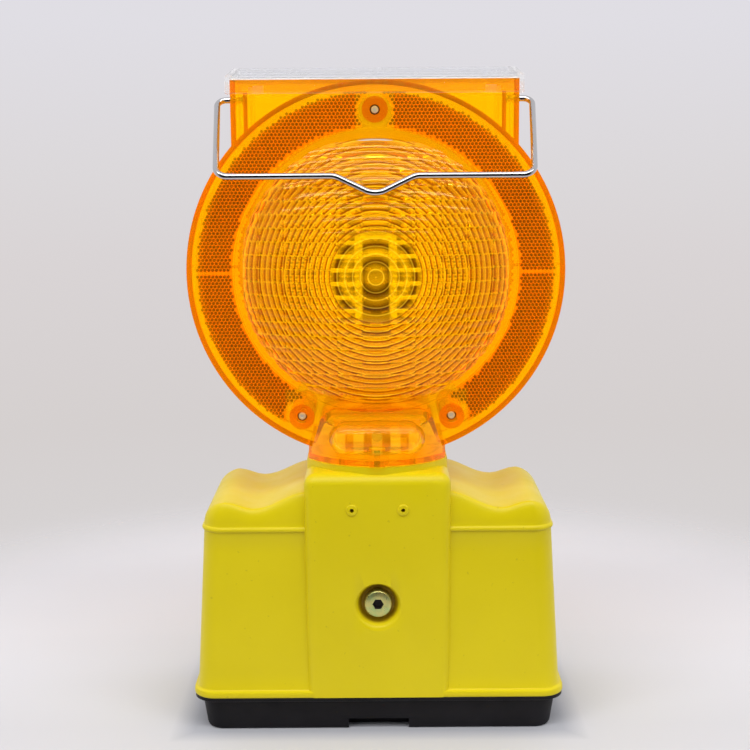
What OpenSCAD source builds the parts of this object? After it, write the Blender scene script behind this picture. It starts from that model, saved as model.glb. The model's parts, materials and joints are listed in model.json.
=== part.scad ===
// Barricade warning light: an amber two-sided lens head with a solar cell under a clear cover,
// a wire bail, and a battery case that a through bolt fastens to a barricade board.
// Millimetres. +Z up, the front lens faces -Y, origin on the ground under the middle of the case.

/* [Lens head] */
// Outer diameter of the lens
lens_d = 190; // [186:1:194]
// Height of the lens centre above the ground
lens_z = 233.5; // [232:0.5:236]
// Depth of one lens half, from its flat face to the seam
half_depth = 24; // [22:1:26]
// Wall of the amber parts
lens_wall = 2.5; // [2:0.1:2.8]
// Rise of the optical dome above its step
dome_rise = 22; // [18:1:24]
// Radius of the optical dome at its foot
dome_r = 68; // [66:1:69]
// Width of the box that carries the solar cell
box_w = 142; // [136:1:144]
// Height of the box's rim above the ground
box_top = 328.5; // [327:0.5:329]

/* [Solar cover] */
// Wall of the clear cover
cover_wall = 1.8; // [1.5:0.1:2]
// Height of the cover's top above the ground
cover_top = 334.2; // [334:0.1:336]
// Chamfer along the cover's top edges
cover_chamfer = 4; // [3:0.5:4.5]

/* [Bail] */
// Diameter of the bail's wire
wire_d = 3.2; // [3:0.1:3.4]
// Distance from the bail's pivot to its bar
bail_reach = 53.6; // [53.4:0.1:54.5]
// Angle at which the bail leans out against the dome
bail_lean = 45.4; // [45.4:0.1:47]

/* [Case] */
// Width of the case at its foot
case_w = 187; // [184:1:188]
// Depth of the case at its foot
case_d = 90; // [88:1:91]
// Wall of the case
case_wall = 2.5; // [2:0.1:2.8]
// Width of the raised centre panel
tower_w = 74; // [72:1:76]
// Height of the tower's top above the ground
tower_top = 134.3; // [134:0.1:134.5]

/* [Through bolt] */
// Diameter of the bolt
bolt_d = 8; // [8:0.5:8]
// Height of the bolt above the ground
bolt_z = 66.8; // [60:0.1:70]
// Length of bolt that stands out behind the case
bolt_free = 38; // [25:1:50]

/* [Batteries] */
// Side of one square lantern battery
cell_side = 66; // [62:1:67]
// Height of one lantern battery without its springs
cell_h = 100; // [96:1:101]

/* [Hidden] */
$fn = 96;
eps = 0.05;
knuckle_gap = 0.15;
knuckle_grow = 0.04;

lens_r = lens_d / 2;
face_y = -half_depth;
seam = 0.6;
reflex_r = [72, 89];
reflex_rise = 1.5;
step_r = [66, 71];
step_rise = 2.5;
dome_sphere = (dome_r * dome_r + dome_rise * dome_rise) / (2 * dome_rise);
dome_centre = half_depth + step_rise + dome_rise - dome_sphere;

// Screw positions as [x, z] from the lens centre.
screw_at = [[0, 80.5], [-38.3, -73.8], [38.3, -73.8]];
boss_r = 6.5;
land_r = 8.6;
counterbore_r = 2.8;
screw_seat_y = -18;
screw_end_y = 17;
screw_hole_r = 1.6;
screw_r = 1.5;

neck_bottom = 138;
neck_r = 41;
neck_hw = 35;
neck_skirt_top = 145;
bell_top = 164;
bulge_z = 151;
bulge_y = -33.5;
bulge_r = 9;
bulge_half = 15.4;
bracket_hw = 28.6;
led_z = lens_z - 4;
board_bottom = led_z - 20;
post_gap = 5.4;
pad_r = 40.4;
pad_top = neck_bottom - 0.3;
button_pad_r = 8.7;
peg_r = 1.1;
spigot_r = [20.5, 24];
spigot_bottom = 131.2;
socket_r = 24.3;
retainer_r = 30;
retainer_screw_r = 17.5;
retainer_screw_depth = 7;

cover_gap = 0.4;
cover_hw = box_w / 2 + cover_gap + cover_wall;
cover_hd = half_depth + cover_gap + cover_wall;
cover_bottom = 321.8;
hook_x = 59.2;
hook_w = 5.5;
panel_t = 1.2;

pivot_z = 319.6;
bail_hw = [80, 77.4];
bail_bend = 6.5;
vee_half = 19.5;
vee_depth = 12.8;

case_bottom = 18;
shoulder_z = 122;
draft = tan(3.1);
case_corner = 10;
flange_out = 2;
flange_h = 3.4;
bead_z = 105.2;
bead_h = 2.4;
top_wall = 3;

tray_floor = 3;
tower_front = [-47, -43.4];
tower_back = 47;
tower_fillet = 6;
bolt_seat_y = -39.2;
bolt_shank_r = 3.6;
cup_depth = 8;
cup_r = [8.8, 12];
vent_at = [12.9, 116.1];
sleeve_half = 36.8;
sleeve_r = 6;
pillar_hw = 7.5;
pillar_top = 79;
cell_x = 10;
board_z = 108.6;
board_t = 1.6;
board_half = 0.8;
strip_t = 0.5;
plug_top = 124;
head_lead_r = 2.4;
retainer_t = 3;
seal_r = 1.1;
seal_ring_r = 32;
lead_r = 0.8;
lead_y = 6;
lead_arc_r = 91.2;
lead_span = [52, -68];
lead_top = [lead_arc_r * cos(lead_span[0]), lens_z + lead_arc_r * sin(lead_span[0])];
lead_low = [lead_arc_r * cos(lead_span[1]), lens_z + lead_arc_r * sin(lead_span[1])];

// ---- Helpers -------------------------------------------------------------------------------

// Extrudes a front view, drawn as [x, z], from y0 to y1.
module slab(y0, y1) {
    translate([0, y1, 0]) rotate([90, 0, 0]) linear_extrude(height = y1 - y0) children();
}

// Extrudes a side view, drawn as [y, z], from x0 to x1.
module side_slab(x0, x1) {
    translate([x0, 0, 0]) rotate([90, 0, 90]) linear_extrude(height = x1 - x0) children();
}

// Turns a shape drawn with +Z forward so that it faces the front from the lens centre.
module facing_front() {
    translate([0, 0, lens_z]) rotate([90, 0, 0]) children();
}

module at_lens_centre() {
    translate([0, lens_z]) children();
}

module rounded_rect(hx, hy, r) {
    for (sx = [-1, 1], sy = [-1, 1]) translate([sx * (hx - r), sy * (hy - r)]) circle(r);
    square([2 * hx, 2 * (hy - r)], center = true);
    square([2 * (hx - r), 2 * hy], center = true);
}

// A block from z0 to z1 with rounded upright corners.
module rounded_block(hx, hy, r, z0, z1) {
    translate([0, 0, z0]) linear_extrude(height = z1 - z0) rounded_rect(hx, hy, r);
}

// A block whose walls lean in by the draft as they rise.
module drafted_block(hx, hy, r, z0, z1) {
    lean = draft * (z1 - z0);
    hull() {
        translate([0, 0, z0]) linear_extrude(height = eps) rounded_rect(hx, hy, r, $fn = 32);
        translate([0, 0, z1 - eps]) linear_extrude(height = eps) rounded_rect(hx - lean, hy - lean, r, $fn = 32);
    }
}

module rod(a, b, r) {
    d = b - a;
    translate(a) rotate([0, acos(d[2] / norm(d)), atan2(d[1], d[0])]) cylinder(h = norm(d), r = r);
}

// A ball that joins two lengths of wire. The lengths stop just short of its middle.
module knuckle(p, r) {
    translate(p) sphere(r + knuckle_grow);
}

function unit(v) = v / norm(v);

module wire(a, b, r) {
    d = unit(b - a) * knuckle_gap;
    rod(a + d, b - d, r);
}

function arc(centre, r, a0, a1, steps = 8) =
    [for (i = [0:steps]) centre + r * [cos(a0 + (a1 - a0) * i / steps), sin(a0 + (a1 - a0) * i / steps)]];

// ---- Lens halves ---------------------------------------------------------------------------

module head_outline() {
    at_lens_centre() circle(lens_r);
    translate([-box_w / 2, lens_z]) square([box_w, box_top - lens_z]);
}

// What is hollow behind the flat face: the lens chamber and the box above it.
module head_chambers() {
    at_lens_centre() circle(lens_r - lens_wall);
    difference() {
        translate([-box_w / 2 + lens_wall, lens_z]) square([box_w - 2 * lens_wall, box_top]);
        at_lens_centre() circle(lens_r);
        for (s = [-1, 1]) translate([s * 63.7 - 1, lens_z]) square([2, box_top - lens_z - 6]);
    }
}

// The retroreflecting band, open round the screw bosses and over the neck.
module reflex_band() {
    difference() {
        at_lens_centre() circle(reflex_r[1]);
        at_lens_centre() circle(reflex_r[0]);
        at_lens_centre() for (p = screw_at) translate(p) circle(land_r);
        translate([-38.3, neck_bottom]) square([76.6, 30]);
        translate([-20, cover_bottom - 0.3]) square([40, 5]);
    }
}

// Bell outline over the neck as a front view. grow is negative for the hollow inside it.
module bell_front(grow) {
    w = neck_hw + grow;
    polygon([
        [-w, neck_bottom - 1], [w, neck_bottom - 1], [w, neck_skirt_top], [w - 2.5, neck_skirt_top + 2],
        [28.5 + grow, 160 + grow], [25.5 + grow, 163 + grow], [22 + grow, bell_top + grow],
        [-22 - grow, bell_top + grow], [-25.5 - grow, 163 + grow], [-28.5 - grow, 160 + grow],
        [-w + 2.5, neck_skirt_top + 2], [-w, neck_skirt_top],
    ]);
}

module bell_side(grow) {
    polygon([
        [0, neck_bottom - 1], [-neck_r - grow - 1, neck_bottom - 1], [-neck_r - grow - 1, neck_skirt_top],
        [-39 - grow, 150], [-36 - grow, 156], [-30 - grow, 161.5 + grow], [-24 - grow, bell_top + grow],
        [0, bell_top + grow],
    ]);
}

// The swelling of the neck over the control board.
module bulge(grow) {
    r = bulge_r + grow;
    translate([0, bulge_y, bulge_z]) rotate([0, 90, 0]) rotate_extrude() polygon(concat(
        [[0, -bulge_half - r]],
        arc([0, -bulge_half], r, -75, 0, 5),
        arc([0, bulge_half], r, 0, 75, 5),
        [[0, bulge_half + r]]
    ));
}

module bell(grow, bottom) {
    intersection() {
        translate([0, 0, bottom]) cylinder(h = bell_top - bottom + 1, r = neck_r + grow);
        slab(-neck_r - 5, -seam) bell_front(grow);
        side_slab(-neck_hw - 1, neck_hw + 1) bell_side(grow);
    }
}

// The front half keeps y below -seam, so round parts on the axis are cut to it.
module front_side() {
    intersection() {
        children();
        translate([-100, -100, 100]) cube([200, 100 - seam, 150]);
    }
}

// Half of the tube that turns in the case's socket, with two screw lugs inside it.
module spigot() {
    h = neck_bottom - spigot_bottom + lens_wall;
    front_side() {
        difference() {
            translate([0, 0, spigot_bottom]) cylinder(h = h, r = spigot_r[1]);
            translate([0, 0, spigot_bottom - 1]) cylinder(h = h + 2, r = spigot_r[0]);
        }
        for (a = [225, 315]) rotate(a) translate([retainer_screw_r, 0, spigot_bottom]) difference() {
            cylinder(h = h, r = 3.4);
            translate([0, 0, -1]) cylinder(h = retainer_screw_depth + 2, r = 1.4);
        }
    }
}

module dome() {
    facing_front() intersection() {
        translate([0, 0, dome_centre]) difference() {
            sphere(dome_sphere);
            sphere(dome_sphere - lens_wall);
        }
        translate([0, 0, half_depth - lens_wall]) cylinder(h = 60, r = dome_r);
    }
    slab(face_y - step_rise, face_y + lens_wall) at_lens_centre() difference() {
        circle(step_r[1]);
        circle(step_r[0]);
    }
}

module screw_bosses() {
    slab(face_y, -seam) at_lens_centre() for (p = screw_at) translate(p) circle(boss_r);
}

// The index tab that hangs in front of the neck's skirt.
module index_tab() {
    translate([-4, -neck_r - 1.9, neck_bottom]) cube([8, 3.4, 10]);
}

// One lens half without its screw holes, on the front side.
module lens_half() {
    difference() {
        union() {
            difference() {
                slab(face_y, -seam) head_outline();
                slab(face_y + lens_wall, 1) head_chambers();
                slab(face_y - 1, face_y + lens_wall + 1) at_lens_centre() circle(step_r[0] + 1);
            }
            dome();
            slab(face_y - reflex_rise, face_y + eps) reflex_band();
            screw_bosses();
            bell(0, neck_bottom);
            bulge_outer();
        }
        bell(-lens_wall, neck_bottom + lens_wall);
        translate([-post_gap, -post_gap, bell_top - 2 * lens_wall]) cube([2 * post_gap, post_gap, 3 * lens_wall]);
        front_side() bulge(-lens_wall);
        translate([0, 0, neck_bottom - 1]) cylinder(h = 5, r = spigot_r[0]);
        pivot_hole();
        for (s = [-1, 1]) hook_slot(s);
    }
    spigot();
}

module bulge_outer() {
    intersection() {
        bulge(0);
        translate([-40, -60, 130]) cube([80, 60 + bulge_y + 6, 40]);
    }
}

module pivot_hole() {
    for (s = [-1, 1]) translate([s * (box_w / 2 - 1) - 3, 0, pivot_z]) rotate([0, 90, 0])
        cylinder(h = 6, r = wire_d / 2 + 0.1);
}

module hook_slot(s) {
    translate([s * hook_x - hook_w / 2 - 0.5, face_y - 1, cover_bottom - 0.4]) cube([hook_w + 1, 2.6, 4.4]);
}

module front_lens() {
    color("orange") difference() {
        union() {
            lens_half();
            index_tab();
        }
        slab(face_y - 5, screw_seat_y) at_lens_centre() for (p = screw_at) translate(p) circle(counterbore_r);
        slab(face_y, 1) at_lens_centre() for (p = screw_at) translate(p) circle(screw_hole_r);
    }
    color("orange") for (s = [-1, 1]) translate([s * 19, -23.5, 146]) rotate([90, 0, 0]) cylinder(h = 12, r = peg_r);
}

// Drawn on the front side and turned round, with the switch's pad and the solar lead's hole.
module rear_lens() {
    color("orange") mirror([0, 1, 0]) difference() {
        union() {
            lens_half();
            translate([0, -38, bulge_z]) rotate([90, 0, 0]) cylinder(h = 4.6, r = button_pad_r);
        }
        slab(4 - half_depth, 0) at_lens_centre() for (p = screw_at) translate(p) circle(screw_hole_r);
        translate([0, -30, bulge_z]) rotate([90, 0, 0]) cylinder(h = 20, r = 6.2);
        translate([lead_top[0], -lead_y, lead_top[1] - 5]) cylinder(h = 20, r = lead_r + 0.3);
        translate([27, -lead_y - 1.4, 147.6]) cube([6, 2.8, 3.8]);
    }
}

// Fills the seam along every wall that the two halves share.
module lens_gasket() {
    color("dimgray") {
        difference() {
            slab(-seam, seam) head_outline();
            slab(-1, 1) head_chambers();
            pivot_hole();
            translate([-neck_hw, -5, neck_bottom]) cube([2 * neck_hw, 10, 12]);
        }
        slab(-seam, seam) difference() {
            bell_front(0);
            bell_front(-lens_wall);
            at_lens_centre() circle(lens_r);
            translate([-50, 0]) square([100, neck_bottom]);
        }
    }
}

module lens_screws() {
    head_h = 2.2;
    color("silver") for (p = screw_at) translate([p[0], screw_seat_y, lens_z + p[1]]) rotate([-90, 0, 0]) {
        translate([0, 0, -head_h]) difference() {
            cylinder(h = head_h, r1 = 1.9, r2 = 2.5);
            translate([0, 0, -eps]) cylinder(h = 1.3, r = 1.1, $fn = 6);
        }
        cylinder(h = screw_end_y - screw_seat_y, r = screw_r);
    }
}

// ---- Solar cover and cell ------------------------------------------------------------------

module cover_profile(hw, top, chamfer) {
    polygon([
        [-hw, cover_bottom], [hw, cover_bottom], [hw, top - chamfer], [hw - chamfer, top],
        [-hw + chamfer, top], [-hw, top - chamfer],
    ]);
}

module cover_block(inset) {
    top = cover_top - inset;
    chamfer = cover_chamfer - 0.4 * inset;
    intersection() {
        slab(-40, 40) cover_profile(cover_hw - inset, top, chamfer);
        side_slab(-90, 90) cover_profile(cover_hd - inset, top, chamfer);
    }
}

module cover_hooks() {
    for (sx = [-1, 1], sy = [-1, 1])
        translate([sx * hook_x - hook_w / 2, sy * half_depth - 1, cover_bottom]) cube([hook_w, 2, 3.2]);
}

module solar_cover() {
    inner_hw = cover_hw - cover_wall;
    inner_hd = cover_hd - cover_wall;
    color("white", 0.4) {
        difference() {
            cover_block(0);
            cover_block(cover_wall);
            translate([-inner_hw, -inner_hd, cover_bottom - 1]) cube([2 * inner_hw, 2 * inner_hd, 3]);
        }
        cover_hooks();
    }
}

module solar_panel() {
    color("midnightblue") translate([-box_w / 2 + 0.5, -half_depth + 0.5, box_top])
        cube([box_w - 1, 2 * half_depth - 1, panel_t]);
}

// Runs down from the cell, round the rim inside the wall, and across to the control board.
module solar_lead() {
    top = [lead_top[0], lead_y, lead_top[1]];
    low = [lead_low[0], lead_y, lead_low[1]];
    turn_in = [26, lead_y, 150];
    short = knuckle_gap / lead_arc_r * 180 / PI;
    color("darkred") {
        wire([lead_top[0], lead_y, box_top + knuckle_gap], top, lead_r);
        facing_front() translate([0, 0, -lead_y]) rotate([0, 0, lead_span[1] + short])
            rotate_extrude(angle = lead_span[0] - lead_span[1] - 2 * short)
                translate([lead_arc_r, 0]) circle(lead_r);
        wire(low, turn_in, lead_r);
        wire(turn_in, [20, -24, 152], lead_r);
        for (p = [top, low, turn_in]) knuckle(p, lead_r);
    }
}

// ---- Light source and electronics ----------------------------------------------------------

module led_board() {
    color("darkgreen") translate([-5.5, -board_half, board_bottom]) cube([11, 2 * board_half, 25]);
}

// One emitter, on the board's front (side -1) or back (side 1).
module led(side) {
    translate([0, side * board_half, led_z]) rotate([side * -90, 0, 0]) {
        cylinder(h = 1.4, r = 4.4);
        translate([0, 0, 1.4]) cylinder(h = 3, r = 3.4);
        translate([0, 0, 4.4]) intersection() {
            sphere(3.4);
            cylinder(h = 4, r = 4);
        }
    }
}

module front_led() {
    color("gold") led(-1);
}

module rear_led() {
    color("gold") led(1);
}

// A post on a bridge that stands on the neck's floor. It grips the board's lower end.
module led_bracket() {
    floor_z = neck_bottom + lens_wall;
    bridge_z = 146;
    color("ivory") difference() {
        union() {
            translate([-5, -4, bridge_z]) cube([10, 8, board_bottom + 10 - bridge_z]);
            translate([-bracket_hw, -4, bridge_z]) cube([2 * bracket_hw, 8, 3]);
            for (s = [-1, 1])
                translate([s * (bracket_hw - 1.5) - 1.5, -4, floor_z]) cube([3, 8, bridge_z - floor_z + 1]);
        }
        translate([-8, -board_half - 0.05, board_bottom]) cube([16, 2 * board_half + 0.1, 20]);
        translate([0, 0, bridge_z - 1]) cylinder(h = 8.1, r = head_lead_r + 0.1);
    }
}

module control_board() {
    color("darkgreen") difference() {
        translate([-22, -25.6, 143]) cube([44, 1.6, 16]);
        for (s = [-1, 1]) translate([s * 19, -23, 146]) rotate([90, 0, 0]) cylinder(h = 4, r = peg_r + 0.1);
    }
}

// The controller, a capacitor, four resistors, a driver and the terminal block.
module control_parts() {
    color("black") {
        translate([-15, -27.4, 147.5]) cube([9, 1.8, 6]);
        translate([9, -25.6, 154.5]) rotate([90, 0, 0]) cylinder(h = 4.5, r = 2.6);
        for (x = [-14, -10, -6]) translate([x, -26.6, 155]) cube([2, 1, 3]);
        translate([7, -28.6, 144.5]) cube([8, 3, 5]);
        translate([-6, -24, 144]) cube([12, 5, 6]);
    }
}

module photocell() {
    color("firebrick") translate([0, -25.6, bulge_z]) rotate([90, 0, 0]) {
        cylinder(h = 6, r = 2.5);
        translate([0, 0, 6]) cylinder(h = 1, r = 2);
    }
}

module switch_body() {
    color("black") translate([0, 26, bulge_z]) rotate([-90, 0, 0]) difference() {
        union() {
            translate([-7, -7, -8]) cube([14, 14, 9]);
            cylinder(h = 20, r = 6);
        }
        cylinder(h = 21, r = 4.2);
    }
}

module button_nut() {
    color("silver") translate([0, 42.6, bulge_z]) rotate([-90, 0, 0]) difference() {
        cylinder(h = 2.2, r = 8.6, $fn = 6);
        translate([0, 0, -1]) cylinder(h = 5, r = 6.05);
    }
}

// A cap with a rounded end. It travels 2 mm into the switch.
module power_button() {
    color("black") translate([0, 29, bulge_z]) rotate([-90, 0, 0]) rotate_extrude() polygon(concat(
        [[0, 0], [3.9, 0]],
        arc([2.7, 19.2], 1.2, 0, 80, 4),
        [[0, 20.5]]
    ));
}

module swivel_retainer() {
    color("dimgray") difference() {
        translate([0, 0, spigot_bottom - retainer_t]) cylinder(h = retainer_t, r = retainer_r);
        translate([0, 0, spigot_bottom - retainer_t - 1]) {
            cylinder(h = retainer_t + 2, r = 12);
            for (a = [45:90:315]) rotate(a) translate([retainer_screw_r, 0, 0])
                cylinder(h = retainer_t + 2, r = 1.4);
        }
    }
}

module retainer_screws() {
    color("silver") for (a = [45:90:315]) rotate(a) translate([retainer_screw_r, 0, spigot_bottom - retainer_t]) {
        translate([0, 0, -1.6]) cylinder(h = 1.6, r = 2.4);
        cylinder(h = retainer_t + retainer_screw_depth, r = 1.3);
    }
}

// A ring in the case's groove under the neck.
module swivel_seal() {
    color("black") translate([0, 0, pad_top - seal_r]) rotate_extrude() translate([seal_ring_r, 0]) circle(seal_r);
}

module head_lead() {
    color("black") rod([0, 0, plug_top - 2], [0, 0, 153], head_lead_r);
}

module head_plug() {
    color("white") difference() {
        translate([-6, -4, plug_top - 7]) cube([12, 8, 7]);
        translate([0, 0, plug_top - 2.3]) cylinder(h = 3, r = head_lead_r + 0.3);
    }
}

// ---- Bail ----------------------------------------------------------------------------------

// The round bend at point b on the way from a to c, as steps + 1 points.
function bend(a, b, c, radius, steps = 6) =
    let (
        u = unit(a - b),
        v = unit(c - b),
        half = acos(u * v) / 2,
        centre = b + unit(u + v) * radius / sin(half),
        from = b + u * radius / tan(half) - centre,
        side = u[0] * v[1] - u[1] * v[0] > 0 ? -1 : 1,
        sweep = side * (180 - 2 * half)
    )
    [for (i = [0:steps]) let (t = sweep * i / steps)
        centre + [from[0] * cos(t) - from[1] * sin(t), from[0] * sin(t) + from[1] * cos(t)]];

// Sweeps a round section of the given number of sides along a path [x, z] in the plane y = 0.
module tube(path, r, sides = 12) {
    last = len(path) - 1;
    rings = [for (i = [0:last])
        let (
            along = unit(path[min(i + 1, last)] - path[max(i - 1, 0)]),
            across = [-along[1], along[0]]
        )
        for (k = [0:sides - 1]) let (t = 360 * (k + 0.5) / sides)
            [path[i][0] + r * cos(t) * across[0], r * sin(t), path[i][1] + r * cos(t) * across[1]]];
    walls = [for (i = [0:last - 1], k = [0:sides - 1]) let (n = (k + 1) % sides)
        [i * sides + k, i * sides + n, (i + 1) * sides + n, (i + 1) * sides + k]];
    polyhedron(
        points = rings,
        faces = concat(
            walls,
            [[for (k = [sides - 1:-1:0]) k]],
            [[for (k = [0:sides - 1]) last * sides + k]]
        )
    );
}

// Drawn hanging straight down from its pivots, then leaned out against the dome.
module bail() {
    inner = box_w / 2 - lens_wall - 2.8;
    leg_end = box_w / 2 + 3.2;
    corners = [
        [-leg_end + 0.5, 0], [-bail_hw[0], 0], [-bail_hw[1], -bail_reach], [-vee_half, -bail_reach],
        [0, -bail_reach - vee_depth], [vee_half, -bail_reach], [bail_hw[1], -bail_reach],
        [bail_hw[0], 0], [leg_end - 0.5, 0],
    ];
    bends = [4.2, bail_bend, 8, 8, 8, bail_bend, 4.2];
    path = concat(
        [corners[0]],
        [for (i = [1:7], p = bend(corners[i - 1], corners[i], corners[i + 1], bends[i - 1])) p],
        [corners[8]]
    );
    color("silver") translate([0, 0, pivot_z]) rotate([-bail_lean, 0, 0]) {
        tube(path, wire_d / 2 - 0.02);
        for (s = [-1, 1]) {
            rod([s * inner, 0, 0], [s * leg_end, 0, 0], wire_d / 2);
            rod([s * inner, 0, 0], [s * (inner + 1.6), 0, 0], wire_d / 2 + 0.9);
        }
    }
}

// ---- Case ----------------------------------------------------------------------------------

function ease(a, b, t) = a + (b - a) * (1 - cos(180 * t)) / 2;

module shoulder_front(inset) {
    hump_x = 77;
    side_x = case_w / 2 - draft * (bead_z - case_bottom) - inset;
    dip_z = 115.5 - inset;
    hump_z = 118.8 - inset;
    right = concat(
        [[0, shoulder_z + 2 - inset], [tower_w / 2 - 4, shoulder_z + 2 - inset]],
        [for (t = [0:0.1:1]) [tower_w / 2 - 2 + 28 * t, ease(shoulder_z + 2 - inset, dip_z, t)]],
        [for (t = [0.2:0.2:1]) [tower_w / 2 + 26 + (hump_x - tower_w / 2 - 26) * t, ease(dip_z, hump_z, t)]],
        [for (a = [75:-15:0]) [hump_x + (side_x - hump_x) * cos(a), bead_z + (hump_z - bead_z) * sin(a)]],
        [[side_x, bead_z - 1], [0, bead_z - 1]]
    );
    polygon(right);
    mirror([1, 0]) polygon(right);
}

module shoulder_side(inset) {
    hy = case_d / 2 - draft * (bead_z - case_bottom) - inset;
    top = shoulder_z + 3;
    r = 9;
    polygon(concat(
        [[-hy, bead_z - 1], [hy, bead_z - 1]],
        [[hy, 109]],
        arc([hy - r, 109], r, 15, 75, 4),
        [[hy - r, top], [-hy + r, top]],
        arc([-hy + r, 109], r, 105, 165, 4),
        [[-hy, 109]]
    ));
}

module shoulders(inset) {
    hx = case_w / 2 - draft * (bead_z - case_bottom) - inset;
    hy = case_d / 2 - draft * (bead_z - case_bottom) - inset;
    intersection() {
        slab(-60, 60) shoulder_front(inset);
        side_slab(-95, 95) shoulder_side(inset);
        rounded_block(hx, hy, case_corner, bead_z - 1, shoulder_z + 3);
    }
}

module tower_side(inset) {
    r = tower_fillet;
    front = tower_front[1] + inset;
    back = tower_back - inset;
    top = tower_top - (inset > 0 ? top_wall : 0);
    polygon(concat(
        [[tower_front[0] + inset, case_bottom], [tower_back - inset, case_bottom]],
        arc([back - r, top - r], r, 0, 90),
        arc([front + r, top - r], r, 90, 180)
    ));
}

module tower(inset) {
    intersection() {
        side_slab(-tower_w / 2 + inset, tower_w / 2 - inset) tower_side(inset);
        rounded_block(tower_w / 2 - inset, -tower_front[0] - inset, 4, case_bottom - 1, tower_top + 1);
    }
}

module case_shell() {
    foot_x = case_w / 2;
    foot_y = case_d / 2;
    bead_lean = draft * (bead_z - case_bottom);
    difference() {
        union() {
            drafted_block(foot_x, foot_y, case_corner, case_bottom, bead_z);
            shoulders(0);
            tower(0);
            rounded_block(foot_x + flange_out, foot_y + flange_out, case_corner + flange_out, case_bottom,
                case_bottom + flange_h);
            rounded_block(foot_x - bead_lean + 1, foot_y - bead_lean + 1, case_corner + 1, bead_z - bead_h / 2,
                bead_z + bead_h / 2);
            intersection() {
                translate([0, 0, tower_top - top_wall]) cylinder(h = pad_top - tower_top + top_wall, r = pad_r);
                translate([-tower_w / 2 + 0.5, -50, 120]) cube([tower_w - 1, 100, 30]);
            }
        }
        drafted_block(foot_x - case_wall, foot_y - case_wall, case_corner - 2, case_bottom - 1, bead_z);
        shoulders(case_wall);
        tower(case_wall);
        translate([0, 0, 100]) cylinder(h = 50, r = socket_r);
        translate([0, 0, pad_top - 2 * seal_r - 0.1]) difference() {
            cylinder(h = 10, r = seal_ring_r + seal_r + 0.1);
            cylinder(h = 10, r = seal_ring_r - seal_r - 0.1);
        }
    }
}

// Outer and inner shape of the cup that sinks the bolt's head below the panel.
module bolt_cup(grow) {
    translate([0, bolt_seat_y + grow, bolt_z]) rotate([90, 0, 0])
        cylinder(h = cup_depth + grow, r1 = cup_r[0] + grow, r2 = cup_r[1] + grow);
}

module case() {
    color("gold") {
        difference() {
            union() {
                case_shell();
                intersection() {
                    bolt_cup(2);
                    tower(0);
                }
                translate([0, sleeve_half, bolt_z]) rotate([-90, 0, 0])
                    cylinder(h = tower_back - sleeve_half - 1, r = 9);
                for (sx = [-1, 1]) translate([sx * vent_at[0], tower_face(vent_at[1]) + 1.5, vent_at[1]])
                    rotate([90, 0, 0]) cylinder(h = 2.3, r = 3);
                contact_bosses();
            }
            bolt_cup(0);
            translate([0, 60, bolt_z]) rotate([90, 0, 0]) cylinder(h = 120, r = bolt_d / 2 + 0.1);
            for (sx = [-1, 1]) translate([sx * vent_at[0], -35, vent_at[1]]) rotate([90, 0, 0])
                cylinder(h = 20, r = 1);
        }
    }
}

// Where the tower's front face is at height z.
function tower_face(z) =
    tower_front[0] + (tower_front[1] - tower_front[0]) * (z - case_bottom) / (tower_top - tower_fillet - case_bottom);

module contact_bosses() {
    difference() {
        for (sx = [-1, 1], sy = [-1, 1]) translate([sx * 46, sy * 24, board_z + board_t])
            cylinder(h = 118 - board_z - board_t, r = 4);
        for (sx = [-1, 1], sy = [-1, 1]) translate([sx * 46, sy * 24, board_z]) cylinder(h = 7, r = 1.4);
    }
}

module base_tray() {
    foot = [case_w / 2 - 4.6, case_d / 2 - 1.6];
    rim = [case_w / 2 - 2, case_d / 2 - 0.8];
    color("dimgray") {
        difference() {
            union() {
                hull() {
                    linear_extrude(height = 1) rounded_rect(foot[0], foot[1], 9, $fn = 32);
                    translate([0, 0, case_bottom - 1]) linear_extrude(height = 1)
                        rounded_rect(rim[0], rim[1], 9, $fn = 32);
                }
                rounded_block(case_w / 2 + 1.5, case_d / 2 + 1.5, case_corner + 1.5, case_bottom - 2.2, case_bottom);
            }
            rounded_block(foot[0] - 2.5, foot[1] - 2.5, 7, tray_floor, case_bottom + 1);
            translate([-15.5, -60, -1]) cube([31, 24, 6.5]);
        }
        translate([-18, -40, 0]) difference() {
            cube([36, 7, 8.5]);
            translate([2.5, -1, -1]) cube([31, 5, 6.5]);
        }
        for (s = [-1, 1]) cell_fence(s);
        tray_posts();
    }
}

// A low wall round the foot of one battery.
module cell_fence(s) {
    middle = s * (cell_x + cell_side / 2);
    half = cell_side / 2;
    difference() {
        translate([middle - half - 2, -half - 2, tray_floor - 0.5]) cube([cell_side + 4, cell_side + 4, 10]);
        translate([middle - half - 0.3, -half - 0.3, tray_floor - 1]) cube([cell_side + 0.6, cell_side + 0.6, 12]);
    }
}

// Two posts between the batteries, joined by a web. The bolt's sleeve passes through them.
module tray_posts() {
    difference() {
        union() {
            for (s = [-1, 1]) translate([-pillar_hw, s * 29 - 6, tray_floor - 0.5])
                cube([2 * pillar_hw, 12, pillar_top - tray_floor + 0.5]);
            translate([-1.5, -25, tray_floor - 0.5]) cube([3, 50, 50]);
        }
        translate([0, 50, bolt_z]) rotate([90, 0, 0]) cylinder(h = 100, r = sleeve_r + 0.1);
    }
}

// ---- Bolt ----------------------------------------------------------------------------------

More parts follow.
